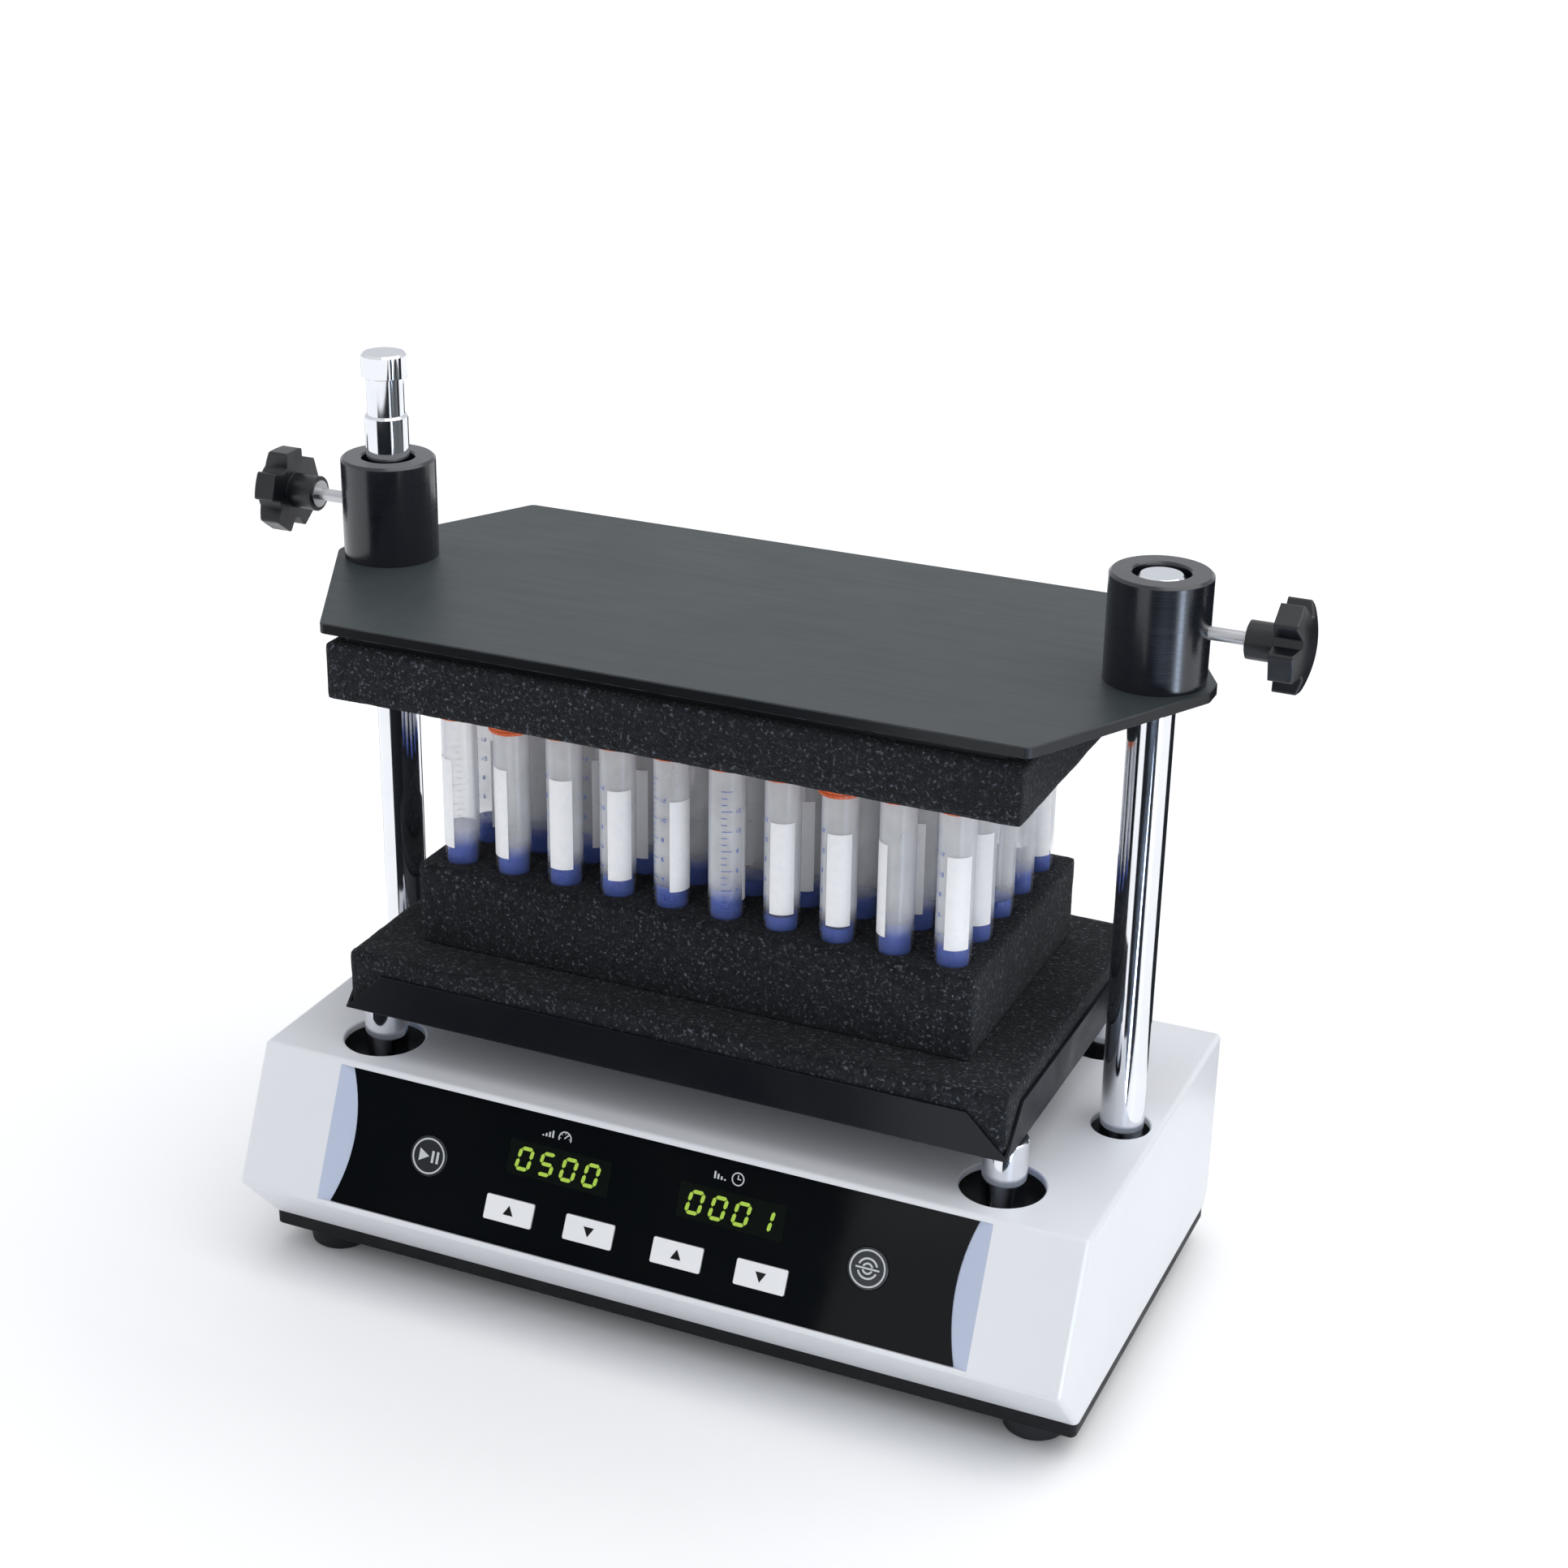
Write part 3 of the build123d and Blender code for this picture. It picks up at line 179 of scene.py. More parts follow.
# ------------------------------------------------------------------ node materials
class Mat:
    def __init__(self, name):
        self.m = bpy.data.materials.new(name)
        self.m.use_nodes = True
        self.nt = self.m.node_tree
        self.b = self.nt.nodes["Principled BSDF"]
        tc = self.nt.nodes.new("ShaderNodeTexCoord")
        self.co = tc.outputs["Object"]

    def link(self, a, b):
        self.nt.links.new(a, b)

    def node(self, kind, **kw):
        n = self.nt.nodes.new(kind)
        for k, v in kw.items():
            setattr(n, k, v)
        return n

    def stretch(self, sx, sy, sz, rot=(0, 0, 0)):
        n = self.node("ShaderNodeMapping")
        n.inputs["Scale"].default_value = (sx, sy, sz)
        n.inputs["Rotation"].default_value = rot
        self.link(self.co, n.inputs["Vector"])
        return n.outputs["Vector"]

    def noise(self, scale, detail=3.0, rough=0.55, vec=None, dist=0.0):
        n = self.node("ShaderNodeTexNoise")
        n.inputs["Scale"].default_value = scale
        n.inputs["Detail"].default_value = detail
        n.inputs["Roughness"].default_value = rough
        n.inputs["Distortion"].default_value = dist
        self.link(vec or self.co, n.inputs["Vector"])
        return n.outputs["Fac"]

    def voronoi(self, scale, feature="F1", vec=None, rand=1.0):
        n = self.node("ShaderNodeTexVoronoi", feature=feature)
        n.inputs["Scale"].default_value = scale
        n.inputs["Randomness"].default_value = rand
        self.link(vec or self.co, n.inputs["Vector"])
        return n.outputs["Distance"]

    def remap(self, fac, a, b, c, d):
        n = self.node("ShaderNodeMapRange")
        n.clamp = True
        for i, v in enumerate((a, b, c, d)):
            n.inputs[i + 1].default_value = v
        self.link(fac, n.inputs[0])
        return n.outputs[0]

    def math(self, op, a, b=None):
        n = self.node("ShaderNodeMath", operation=op)
        for i, v in enumerate((a, b)):
            if v is None:
                continue
            if isinstance(v, (int, float)):
                n.inputs[i].default_value = v
            else:
                self.link(v, n.inputs[i])
        return n.outputs[0]

    def mix(self, fac, c0, c1):
        n = self.node("ShaderNodeMix", data_type="RGBA")
        self.link(fac, n.inputs[0])
        for i, c in ((6, c0), (7, c1)):
            if isinstance(c, tuple):
                n.inputs[i].default_value = (*c, 1.0)
            else:
                self.link(c, n.inputs[i])
        return n.outputs[2]

    def ramp(self, fac, *stops):
        n = self.node("ShaderNodeValToRGB")
        e = n.color_ramp.elements
        while len(e) < len(stops):
            e.new(0.5)
        for el, (pos, col) in zip(e, stops):
            el.position = pos
            el.color = (*col, 1.0) if isinstance(col, tuple) else (col, col, col, 1.0)
        self.link(fac, n.inputs[0])
        return n.outputs[0]

    def bump(self, height, strength, dist, normal=None):
        n = self.node("ShaderNodeBump")
        n.inputs["Strength"].default_value = strength
        n.inputs["Distance"].default_value = dist
        self.link(height, n.inputs["Height"])
        if normal is not None:
            self.link(normal, n.inputs["Normal"])
        return n.outputs["Normal"]

    def bevel(self, radius, samples=4):
        n = self.node("ShaderNodeBevel", samples=samples)
        n.inputs["Radius"].default_value = radius
        return n.outputs["Normal"]

    def edge_mask(self, radius, samples=4, a=0.02, b=0.35):
        """High along sharp edges, from how far a rounded normal leaves the true one."""
        bn = self.bevel(radius, samples)
        geo = self.node("ShaderNodeNewGeometry")
        dot = self.node("ShaderNodeVectorMath", operation="DOT_PRODUCT")
        self.link(bn, dot.inputs[0])
        self.link(geo.outputs["Normal"], dot.inputs[1])
        return self.remap(self.math("SUBTRACT", 1.0, dot.outputs["Value"]), a, b, 0.0, 1.0)

    def set(self, **kw):
        names = {"rough": "Roughness", "metal": "Metallic", "ior": "IOR", "spec": "Specular IOR Level", "coat": "Coat Weight",
                 "coat_rough": "Coat Roughness", "alpha": "Alpha", "trans": "Transmission Weight", "normal": "Normal",
                 "emit": "Emission Color", "emit_strength": "Emission Strength", "sheen": "Sheen Weight",
                 "sheen_rough": "Sheen Roughness", "sheen_tint": "Sheen Tint", "sss": "Subsurface Weight",
                 "sss_scale": "Subsurface Scale", "aniso": "Anisotropic"}
        for k, v in kw.items():
            s = self.b.inputs[names.get(k, k)] if k != "base" else self.b.inputs["Base Color"]
            if isinstance(v, (int, float)):
                s.default_value = v
            elif isinstance(v, tuple):
                s.default_value = (*v, 1.0) if len(v) == 3 else v
            else:
                self.link(v, s)
        return self.m


MATS = {}


def moulded(name, c0, c1, r0, r1, grain=1400, depth=0.00005, bump=0.25, spec=0.5, bevel=0.0, wave=0.0, coat=0.0):
    """Moulded plastic or paint: slight tone drift, fine texture, uneven gloss."""
    a = Mat(name)
    big = a.noise(9.0, 4.0)
    fine = a.noise(grain, 3.0, 0.6)
    smear = a.noise(42.0, 5.0, 0.65, dist=0.6)
    base = a.mix(a.remap(big, 0.3, 0.7, 0.0, 1.0), c0, c1)
    rough = a.remap(smear, 0.3, 0.7, r0, r1)
    height = fine
    if wave:
        height = a.math("ADD", fine, a.math("MULTIPLY", a.noise(60, 2.0), wave))
    nrm = a.bump(height, bump, depth, a.bevel(bevel) if bevel else None)
    a.set(base=base, rough=rough, normal=nrm, spec=spec, coat=coat)
    return a


def turned_metal(name, c0, c1, r0, r1, axis="z", rings=2600, bump=0.08, metal=1.0, bevel=0.0):
    """Machined metal: fine tool rings, smears of oil, uneven gloss."""
    a = Mat(name)
    s = {"z": (30, 30, rings), "x": (rings, 30, 30), "xy": (500, 500, 500)}[axis]
    lines = a.noise(1.0, 2.0, 0.6, vec=a.stretch(*s))
    smear = a.noise(55, 4.0, 0.6, dist=0.4)
    base = a.mix(a.remap(smear, 0.3, 0.7, 0.0, 1.0), c0, c1)
    rough = a.math("ADD", a.remap(smear, 0.3, 0.7, r0, r1), a.remap(lines, 0.35, 0.65, 0.0, 0.04))
    nrm = a.bump(lines, bump, 0.00003, a.bevel(bevel) if bevel else None)
    a.set(base=base, rough=rough, metal=metal, normal=nrm)
    return a


def foam_material(name, dark, light, tip_highlight):
    """Open-cell foam: pale specks are painted highlights where cell walls catch light, pits stay dark."""
    a = Mat(name)
    cells = a.voronoi(620, "F1")
    edges = a.voronoi(620, "DISTANCE_TO_EDGE")
    fine = a.noise(1500, 3.0, 0.65)
    clump = a.noise(260, 3.0, 0.6)
    drift = a.noise(14, 3.0, 0.5)
    body = a.mix(a.remap(clump, 0.35, 0.68, 0.0, 1.0), dark, light)
    # painted highlight: pale specks stand in for light caught on the foam's cell walls
    speck_highlight = a.math("MULTIPLY", a.remap(a.noise(560, 2.0, 0.5), 0.555, 0.68, 0.0, 1.0), a.remap(cells, 0.25, 0.6, 1.0, 0.25))
    col = a.mix(speck_highlight, body, tip_highlight)
    col = a.mix(a.remap(drift, 0.35, 0.65, 0.0, 0.28), col, dark)
    height = a.math("ADD", a.math("MULTIPLY", a.remap(edges, 0.0, 0.35, 1.0, 0.0), 0.9), a.math("MULTIPLY", fine, 0.6))
    nrm = a.bump(height, 0.75, 0.0007)
    a.set(base=col, rough=a.remap(fine, 0.3, 0.7, 0.82, 1.0), normal=nrm, spec=0.15, sheen=0.06, sheen_rough=0.6)
    return a


def make_materials():
    w = moulded("housing_white", (0.755, 0.772, 0.812), (0.778, 0.793, 0.828), 0.30, 0.40, grain=1500, depth=0.00006, bump=0.22, bevel=0.0009, wave=0.5)
    # painted shade: faces that lean sideways and face forward, inside the housing's outer sides (the panel recess end
    # walls), are tinted a darker blue-grey
    geo = w.node("ShaderNodeNewGeometry")
    sepn = w.node("ShaderNodeSeparateXYZ")
    w.link(geo.outputs["Normal"], sepn.inputs[0])
    nx = w.math("ABSOLUTE", sepn.outputs["X"])
    painted_wall_shade = w.math("MULTIPLY", w.remap(nx, 0.06, 0.14, 0.0, 1.0), w.remap(nx, 0.72, 0.86, 1.0, 0.0))
    painted_wall_shade = w.math("MULTIPLY", painted_wall_shade, w.remap(sepn.outputs["Y"], -0.30, -0.55, 0.0, 1.0))
    where = w.node("ShaderNodeSeparateXYZ")
    w.link(w.co, where.inputs[0])
    painted_wall_shade = w.math("MULTIPLY", painted_wall_shade, w.remap(w.math("ABSOLUTE", where.outputs["X"]), 0.183, 0.192, 1.0, 0.0))
    shell = w.b.inputs["Base Color"].links[0].from_socket
    w.set(base=w.mix(painted_wall_shade, shell, (0.50, 0.565, 0.72)))
    MATS["housing_white"] = w.m

    p = Mat("base_black")
    # paler colour along sharp edges: partly edge wear, partly a painted edge highlight
    wear = p.edge_mask(0.0006)
    fine = p.noise(1700, 3, 0.6)
    col = p.mix(p.math("MULTIPLY", wear, p.remap(p.noise(160, 4), 0.45, 0.6, 0.0, 0.5)), (0.006, 0.0065, 0.008), (0.06, 0.063, 0.07))
    p.set(base=col, rough=p.remap(p.noise(70, 4), 0.3, 0.7, 0.42, 0.58), normal=p.bump(fine, 0.4, 0.00009), spec=0.2)
    MATS["base_black"] = p.m

    MATS["foot_rubber"] = moulded("foot_rubber", (0.010, 0.010, 0.011), (0.018, 0.018, 0.02), 0.62, 0.8, grain=900, depth=0.00012, bump=0.35, spec=0.35).m
    MATS["screw_steel"] = turned_metal("screw_steel", (0.52, 0.53, 0.55), (0.62, 0.62, 0.63), 0.22, 0.34, bevel=0.0003).m

    g = Mat("overlay_black")
    smudge = g.noise(26, 5, 0.65, dist=0.8)
    orange = g.noise(240, 2, 0.5)
    g.set(base=g.mix(g.remap(g.noise(7, 3), 0.3, 0.7, 0.0, 1.0), (0.0026, 0.0036, 0.0044), (0.0045, 0.0056, 0.0068)),
          rough=g.remap(smudge, 0.35, 0.7, 0.10, 0.24), normal=g.bump(orange, 0.12, 0.00003), spec=0.18)
    MATS["overlay_black"] = g.m

    g = Mat("window_smoke")
    g.set(base=g.mix(g.noise(30, 2), (0.004, 0.006, 0.005), (0.007, 0.010, 0.008)), rough=g.remap(g.noise(40, 4, 0.6), 0.35, 0.7, 0.06, 0.14),
          normal=g.bump(g.noise(500, 2), 0.04, 0.00002), spec=0.5)
    MATS["window_smoke"] = g.m

    MATS["display_green"] = moulded("display_green", (0.02, 0.025, 0.02), (0.03, 0.035, 0.03), 0.4, 0.5).m
    MATS["key_white"] = moulded("key_white", (0.80, 0.815, 0.84), (0.85, 0.86, 0.875), 0.30, 0.42, grain=1300, depth=0.00004, bump=0.2, bevel=0.0003).m
    MATS["key_grey"] = moulded("key_grey", (0.020, 0.023, 0.027), (0.030, 0.033, 0.038), 0.26, 0.38, grain=1300, depth=0.00004, bump=0.2, bevel=0.0003).m

    b = Mat("board_green")
    tracks = b.voronoi(260, "DISTANCE_TO_EDGE", rand=0.6)
    b.set(base=b.mix(b.remap(tracks, 0.02, 0.08, 1.0, 0.0), (0.012, 0.075, 0.03), (0.03, 0.15, 0.07)), rough=b.remap(b.noise(80), 0.3, 0.7, 0.3, 0.45),
          normal=b.bump(tracks, 0.2, 0.00005))
    MATS["board_green"] = b.m

    MATS["motor_alu"] = turned_metal("motor_alu", (0.42, 0.43, 0.45), (0.52, 0.53, 0.54), 0.34, 0.46, axis="xy").m
    b = Mat("copper_stack")
    turns = b.noise(1.0, 2, 0.5, vec=b.stretch(60, 60, 1800))
    b.set(base=b.mix(turns, (0.32, 0.12, 0.04), (0.62, 0.28, 0.10)), rough=b.remap(turns, 0.3, 0.7, 0.25, 0.4), metal=0.9, normal=b.bump(turns, 0.5, 0.0002))
    MATS["copper_stack"] = b.m
    MATS["bearing_steel"] = turned_metal("bearing_steel", (0.56, 0.56, 0.58), (0.66, 0.66, 0.68), 0.16, 0.26).m
    MATS["counterweight_brass"] = turned_metal("counterweight_brass", (0.58, 0.42, 0.17), (0.66, 0.50, 0.24), 0.25, 0.38, axis="xy").m
    MATS["pad_brass"] = turned_metal("pad_brass", (0.58, 0.42, 0.17), (0.66, 0.50, 0.24), 0.25, 0.38, axis="xy").m
    MATS["idler_alu"] = turned_metal("idler_alu", (0.46, 0.47, 0.49), (0.56, 0.57, 0.58), 0.3, 0.42, axis="xy").m
    MATS["carriage_alu"] = turned_metal("carriage_alu", (0.40, 0.41, 0.43), (0.48, 0.49, 0.50), 0.34, 0.5, axis="xy").m

    c = Mat("post_chrome")
    streak = c.noise(1.0, 3, 0.6, vec=c.stretch(700, 700, 9))
    smear = c.noise(34, 5, 0.6, dist=0.7)
    c.set(base=c.mix(c.remap(smear, 0.35, 0.7, 0.0, 1.0), (0.86, 0.875, 0.90), (0.80, 0.82, 0.86)),
          rough=c.math("ADD", c.remap(smear, 0.35, 0.72, 0.035, 0.10), c.remap(streak, 0.4, 0.7, 0.0, 0.03)), metal=1.0,
          normal=c.bump(streak, 0.05, 0.00002, c.bevel(0.0005)))
    MATS["post_chrome"] = c.m

    t = Mat("tray_black")
    # paler colour along sharp edges: partly edge wear, partly a painted edge highlight
    wear = t.edge_mask(0.0007)
    fine = t.noise(1500, 3, 0.6)
    col = t.mix(t.math("MULTIPLY", wear, t.remap(t.noise(120, 4), 0.35, 0.62, 0.15, 0.8)), (0.0050, 0.0064, 0.0105), (0.055, 0.063, 0.088))
    t.set(base=col, rough=t.remap(t.noise(30, 5, 0.6, dist=0.5), 0.3, 0.7, 0.30, 0.46), normal=t.bump(fine, 0.3, 0.00007, t.bevel(0.0006)), spec=0.3)
    MATS["tray_black"] = t.m

    MATS["foam_charcoal"] = foam_material("foam_charcoal", (0.0034, 0.0044, 0.0062), (0.0120, 0.0145, 0.0190), (0.120, 0.134, 0.162)).m

    k = Mat("clamp_black")
    grain = k.noise(1900, 3, 0.6)
    smear = k.noise(11, 5, 0.6, dist=0.9)
    rub = k.noise(1.0, 4, 0.6, vec=k.stretch(18, 260, 60, (0, 0, 0.3)))
    wear = k.edge_mask(0.0006)
    col = k.mix(k.remap(smear, 0.3, 0.7, 0.0, 1.0), (0.028, 0.036, 0.039), (0.037, 0.046, 0.049))
    # painted light: upward faces keep the lighter slate colour and the sides get a near-black one, so the top reads as
    # lit and the sides as shaded
    sepn = k.node("ShaderNodeSeparateXYZ")
    k.link(k.node("ShaderNodeNewGeometry").outputs["Normal"], sepn.inputs[0])
    col = k.mix(k.remap(sepn.outputs["Z"], 0.45, 0.9, 0.0, 1.0), (0.0055, 0.0065, 0.0085), col)
    # paler blue-grey along sharp edges: partly edge wear, partly a painted edge highlight
    col = k.mix(k.math("MULTIPLY", wear, k.remap(k.noise(140, 4), 0.4, 0.6, 0.1, 0.7)), col, (0.16, 0.18, 0.23))
    k.set(base=col, rough=k.math("ADD", k.remap(smear, 0.3, 0.7, 0.36, 0.47), k.remap(rub, 0.45, 0.7, 0.0, 0.05)),
          normal=k.bump(grain, 0.32, 0.00007, k.bevel(0.0005)), spec=0.38)
    MATS["clamp_black"] = k.m

    k = Mat("collar_black")
    rings = k.noise(1.0, 2, 0.5, vec=k.stretch(22, 22, 2400))
    smear = k.noise(40, 4, 0.6, dist=0.5)
    # paler bluish colour along sharp edges: partly edge wear, partly a painted edge highlight
    wear = k.edge_mask(0.0006)
    col = k.mix(k.math("MULTIPLY", wear, k.remap(k.noise(150, 4), 0.4, 0.62, 0.2, 0.9)), (0.0052, 0.0068, 0.0120), (0.11, 0.13, 0.19))
    k.set(base=col, rough=k.math("ADD", k.remap(smear, 0.3, 0.7, 0.20, 0.28), k.remap(rings, 0.4, 0.65, 0.0, 0.05)),
          normal=k.bump(rings, 0.10, 0.00003, k.bevel(0.0006)), spec=0.6, coat=0.25, coat_rough=0.15)
    MATS["collar_black"] = k.m

    MATS["backing_black"] = moulded("backing_black", (0.006, 0.007, 0.009), (0.010, 0.011, 0.014), 0.4, 0.55, grain=1200, depth=0.00007, bump=0.3).m
    k = Mat("knob_black")
    fine = k.noise(1100, 3, 0.6)
    # paler colour along sharp edges: partly edge wear, partly a painted edge highlight
    wear = k.edge_mask(0.0009)
    col = k.mix(k.math("MULTIPLY", wear, k.remap(k.noise(110, 4), 0.35, 0.62, 0.05, 0.6)), (0.0040, 0.0048, 0.0070), (0.034, 0.040, 0.054))
    k.set(base=col, rough=k.remap(k.noise(90, 4, 0.6), 0.3, 0.7, 0.26, 0.42), normal=k.bump(fine, 0.28, 0.0001, k.bevel(0.0008)), spec=0.55)
    MATS["knob_black"] = k.m
    MATS["inlet_black"] = moulded("inlet_black", (0.009, 0.009, 0.010), (0.014, 0.014, 0.015), 0.4, 0.55, grain=1000, depth=0.0001, bump=0.3, bevel=0.0004).m
    MATS["rocker_black"] = moulded("rocker_black", (0.008, 0.008, 0.009), (0.012, 0.012, 0.013), 0.2, 0.32, grain=1300, depth=0.00005, bump=0.2, bevel=0.0004).m
    MATS["wire_grey"] = moulded("wire_grey", (0.04, 0.04, 0.045), (0.06, 0.06, 0.065), 0.45, 0.6).m

    # tube plastic: milky, denser where the wall is seen edge-on
    t = Mat("tube_clear")
    lw = t.node("ShaderNodeLayerWeight")
    lw.inputs["Blend"].default_value = 0.42
    haze = t.noise(60, 3, 0.5)
    edge = t.remap(lw.outputs["Facing"], 0.05, 0.95, 0.0, 1.0)
    alpha = t.math("ADD", t.math("MULTIPLY", t.math("POWER", edge, 1.6), 0.46), t.remap(haze, 0.3, 0.7, 0.25, 0.33))
    # the wetted foot of the wall looks clear, the dry wall above it milky
    tz = t.node("ShaderNodeSeparateXYZ")
    t.link(t.node("ShaderNodeTexCoord").outputs["Object"], tz.inputs[0])
    alpha = t.math("MULTIPLY", alpha, t.remap(tz.outputs["Z"], 0.2205, 0.2300, 0.14, 1.0))
    t.set(base=t.mix(edge, (0.95, 0.96, 0.98), (0.78, 0.82, 0.89)), rough=t.remap(t.noise(200, 3), 0.3, 0.7, 0.12, 0.22), alpha=alpha,
          normal=t.bump(t.noise(1.0, 2, 0.5, vec=t.stretch(260, 260, 30)), 0.06, 0.00004), spec=0.3)
    MATS["tube_clear"] = t.m

    k = Mat("cap_orange")
    k.set(base=k.mix(k.remap(k.noise(90, 4), 0.3, 0.7, 0.0, 1.0), (0.66, 0.105, 0.018), (0.74, 0.135, 0.028)), rough=k.remap(k.noise(300, 3), 0.3, 0.7, 0.36, 0.5),
          normal=k.bump(k.noise(900, 3), 0.2, 0.00006, k.bevel(0.0003)), sss=0.08, sss_scale=0.002)
    MATS["cap_orange"] = k.m

    k = Mat("liquid_blue")
    k.set(base=k.mix(k.remap(k.noise(120, 4, 0.6), 0.3, 0.7, 0.0, 1.0), (0.016, 0.060, 0.36), (0.040, 0.105, 0.50)), rough=k.remap(k.noise(90, 3), 0.3, 0.7, 0.08, 0.2),
          normal=k.bump(k.noise(150, 2), 0.1, 0.0001), spec=0.2, alpha=k.remap(k.noise(70, 3), 0.3, 0.7, 0.86, 0.94))
    MATS["liquid_blue"] = k.m

    k = Mat("label_white")
    k.set(base=k.mix(k.remap(k.noise(300, 4), 0.3, 0.7, 0.0, 1.0), (0.88, 0.89, 0.93), (0.93, 0.935, 0.95)), rough=k.remap(k.noise(160, 3), 0.3, 0.7, 0.5, 0.65),
          normal=k.bump(k.noise(2200, 3), 0.25, 0.00004))
    MATS["label_white"] = k.m

    k = Mat("ink_blue")
    k.set(base=k.mix(k.remap(k.noise(700, 3), 0.3, 0.7, 0.0, 1.0), (0.02, 0.07, 0.42), (0.05, 0.12, 0.56)), rough=k.remap(k.noise(400, 3), 0.3, 0.7, 0.35, 0.5),
          normal=k.bump(k.noise(1800, 2), 0.15, 0.00003))
    MATS["ink_blue"] = k.m

    k = Mat("ink_black")
    k.set(base=k.mix(k.noise(600, 3), (0.006, 0.006, 0.007), (0.014, 0.014, 0.015)), rough=k.remap(k.noise(500, 3), 0.3, 0.7, 0.4, 0.55),
          normal=k.bump(k.noise(1500, 2), 0.15, 0.00003))
    MATS["ink_black"] = k.m

    k = Mat("ink_pale")
    k.set(base=k.mix(k.noise(600, 3), (0.50, 0.52, 0.54), (0.60, 0.62, 0.64)), rough=k.remap(k.noise(500, 3), 0.3, 0.7, 0.4, 0.55),
          normal=k.bump(k.noise(1500, 2), 0.15, 0.00003))
    MATS["ink_pale"] = k.m

    k = Mat("digit_green")
    glow = k.noise(900, 3, 0.6)
    k.set(base=k.mix(glow, (0.20, 0.30, 0.03), (0.26, 0.38, 0.05)), emit=k.mix(glow, (0.17, 0.28, 0.028), (0.24, 0.36, 0.042)), emit_strength=0.9,
          rough=k.remap(glow, 0.3, 0.7, 0.3, 0.45))
    MATS["digit_green"] = k.m


make_materials()
for node, ob in NODES.items():
    mat = MATS[SLOT_OF[node]]
    if not ob.data.materials:
        ob.data.materials.append(mat)
    for s in ob.material_slots:
        s.material = mat


def wear(ob, mat, slot_name=None, body=None):
    ob.data.materials.clear()
    ob.data.materials.append(MATS[mat])
    if body:
        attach(ob, body)
    return ob


# ------------------------------------------------------------------ foam blocks
def soft_noise(v, scale, seed):
    from mathutils import noise
    return noise.noise(Vector(v) * scale + Vector((seed, seed * 2.3, -seed)))


def grid_axis(a, b, step):
    n = max(2, int(round((b - a) / step)))
    return [a + (b - a) * i / n for i in range(n + 1)]


def box_grid(lo, hi, step):
    """A closed box whose six faces are grids that share their edge points."""
    xs, ys, zs = (grid_axis(lo[i], hi[i], step) for i in range(3))
    index, verts, faces = {}, [], []

    def vid(i, j, k):
        key = (i, j, k)
        if key not in index:
            index[key] = len(verts)
            verts.append((xs[i], ys[j], zs[k]))
        return index[key]

    nx, ny, nz = len(xs) - 1, len(ys) - 1, len(zs) - 1
    for i in range(nx):
        for j in range(ny):
            faces.append((vid(i, j, 0), vid(i, j + 1, 0), vid(i + 1, j + 1, 0), vid(i + 1, j, 0)))
            faces.append((vid(i, j, nz), vid(i + 1, j, nz), vid(i + 1, j + 1, nz), vid(i, j + 1, nz)))
    for i in range(nx):
        for k in range(nz):
            faces.append((vid(i, 0, k), vid(i + 1, 0, k), vid(i + 1, 0, k + 1), vid(i, 0, k + 1)))
            faces.append((vid(i, ny, k), vid(i, ny, k + 1), vid(i + 1, ny, k + 1), vid(i + 1, ny, k)))
    for j in range(ny):
        for k in range(nz):
            faces.append((vid(0, j, k), vid(0, j, k + 1), vid(0, j + 1, k + 1), vid(0, j + 1, k)))
            faces.append((vid(nx, j, k), vid(nx, j + 1, k), vid(nx, j + 1, k + 1), vid(nx, j, k + 1)))
    return verts, faces


def soften(verts, lo, hi, radius, amp, seed, bulge=0.0, crown=0.0, pinned_bottom=False, pinned_top=False, holes=()):
    """Rounds a block's edges, lets its sides swell between its corners and roughens the cut surface."""
    out = []
    c = [(lo[i] + hi[i]) / 2 for i in range(3)]
    h = [(hi[i] - lo[i]) / 2 for i in range(3)]
    for v in verts:
        d = [v[i] - c[i] for i in range(3)]
        # pull points near edges towards a rounded box
        q = [max(abs(d[i]) - (h[i] - radius), 0.0) for i in range(3)]
        m = math.sqrt(sum(t * t for t in q))
        p = list(v)
        if m > radius:
            f = radius / m
            for i in range(3):
                if q[i] > 0:
                    p[i] = c[i] + math.copysign(h[i] - radius + q[i] * f, d[i])
        u = [d[i] / h[i] for i in range(3)]
        onx, ony, onz = (abs(abs(d[i]) - h[i]) < 1e-6 for i in range(3))
        if ony:
            p[1] += math.copysign(bulge * (1 - u[0] ** 4) * (1 - u[2] ** 2), d[1])
        if onx:
            p[0] += math.copysign(bulge * (1 - u[1] ** 4) * (1 - u[2] ** 2), d[0])
        if onz and d[2] > 0 and not pinned_top:
            p[2] += crown * (1 - u[0] ** 6) * (1 - u[1] ** 6)
        if onz and d[2] < 0 and not pinned_bottom:
            p[2] -= crown * (1 - u[0] ** 6) * (1 - u[1] ** 6)
        n1 = soft_noise(v, 55, seed) * 0.6 + soft_noise(v, 210, seed + 3) * 0.4
        n2 = soft_noise(v, 60, seed + 11) * 0.6 + soft_noise(v, 230, seed + 5) * 0.4
        n3 = soft_noise(v, 50, seed + 17) * 0.6 + soft_noise(v, 220, seed + 7) * 0.4
        if onx or ony:
            p[0] += amp * n1
            p[1] += amp * n2
        if onz and not ((d[2] > 0 and pinned_top) or (d[2] < 0 and pinned_bottom)):
            p[2] += amp * n3
        out.append(p)
    return out


def foam_piece(name, lo, hi, step, radius, amp, seed, body, node, **kw):
    verts, faces = box_grid(lo, hi, step)
    ob = mesh_object(name, soften(verts, lo, hi, radius, amp, seed, **kw), faces)
    wear(ob, "foam_charcoal", "foam_charcoal", body)
    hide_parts(node)
    return ob


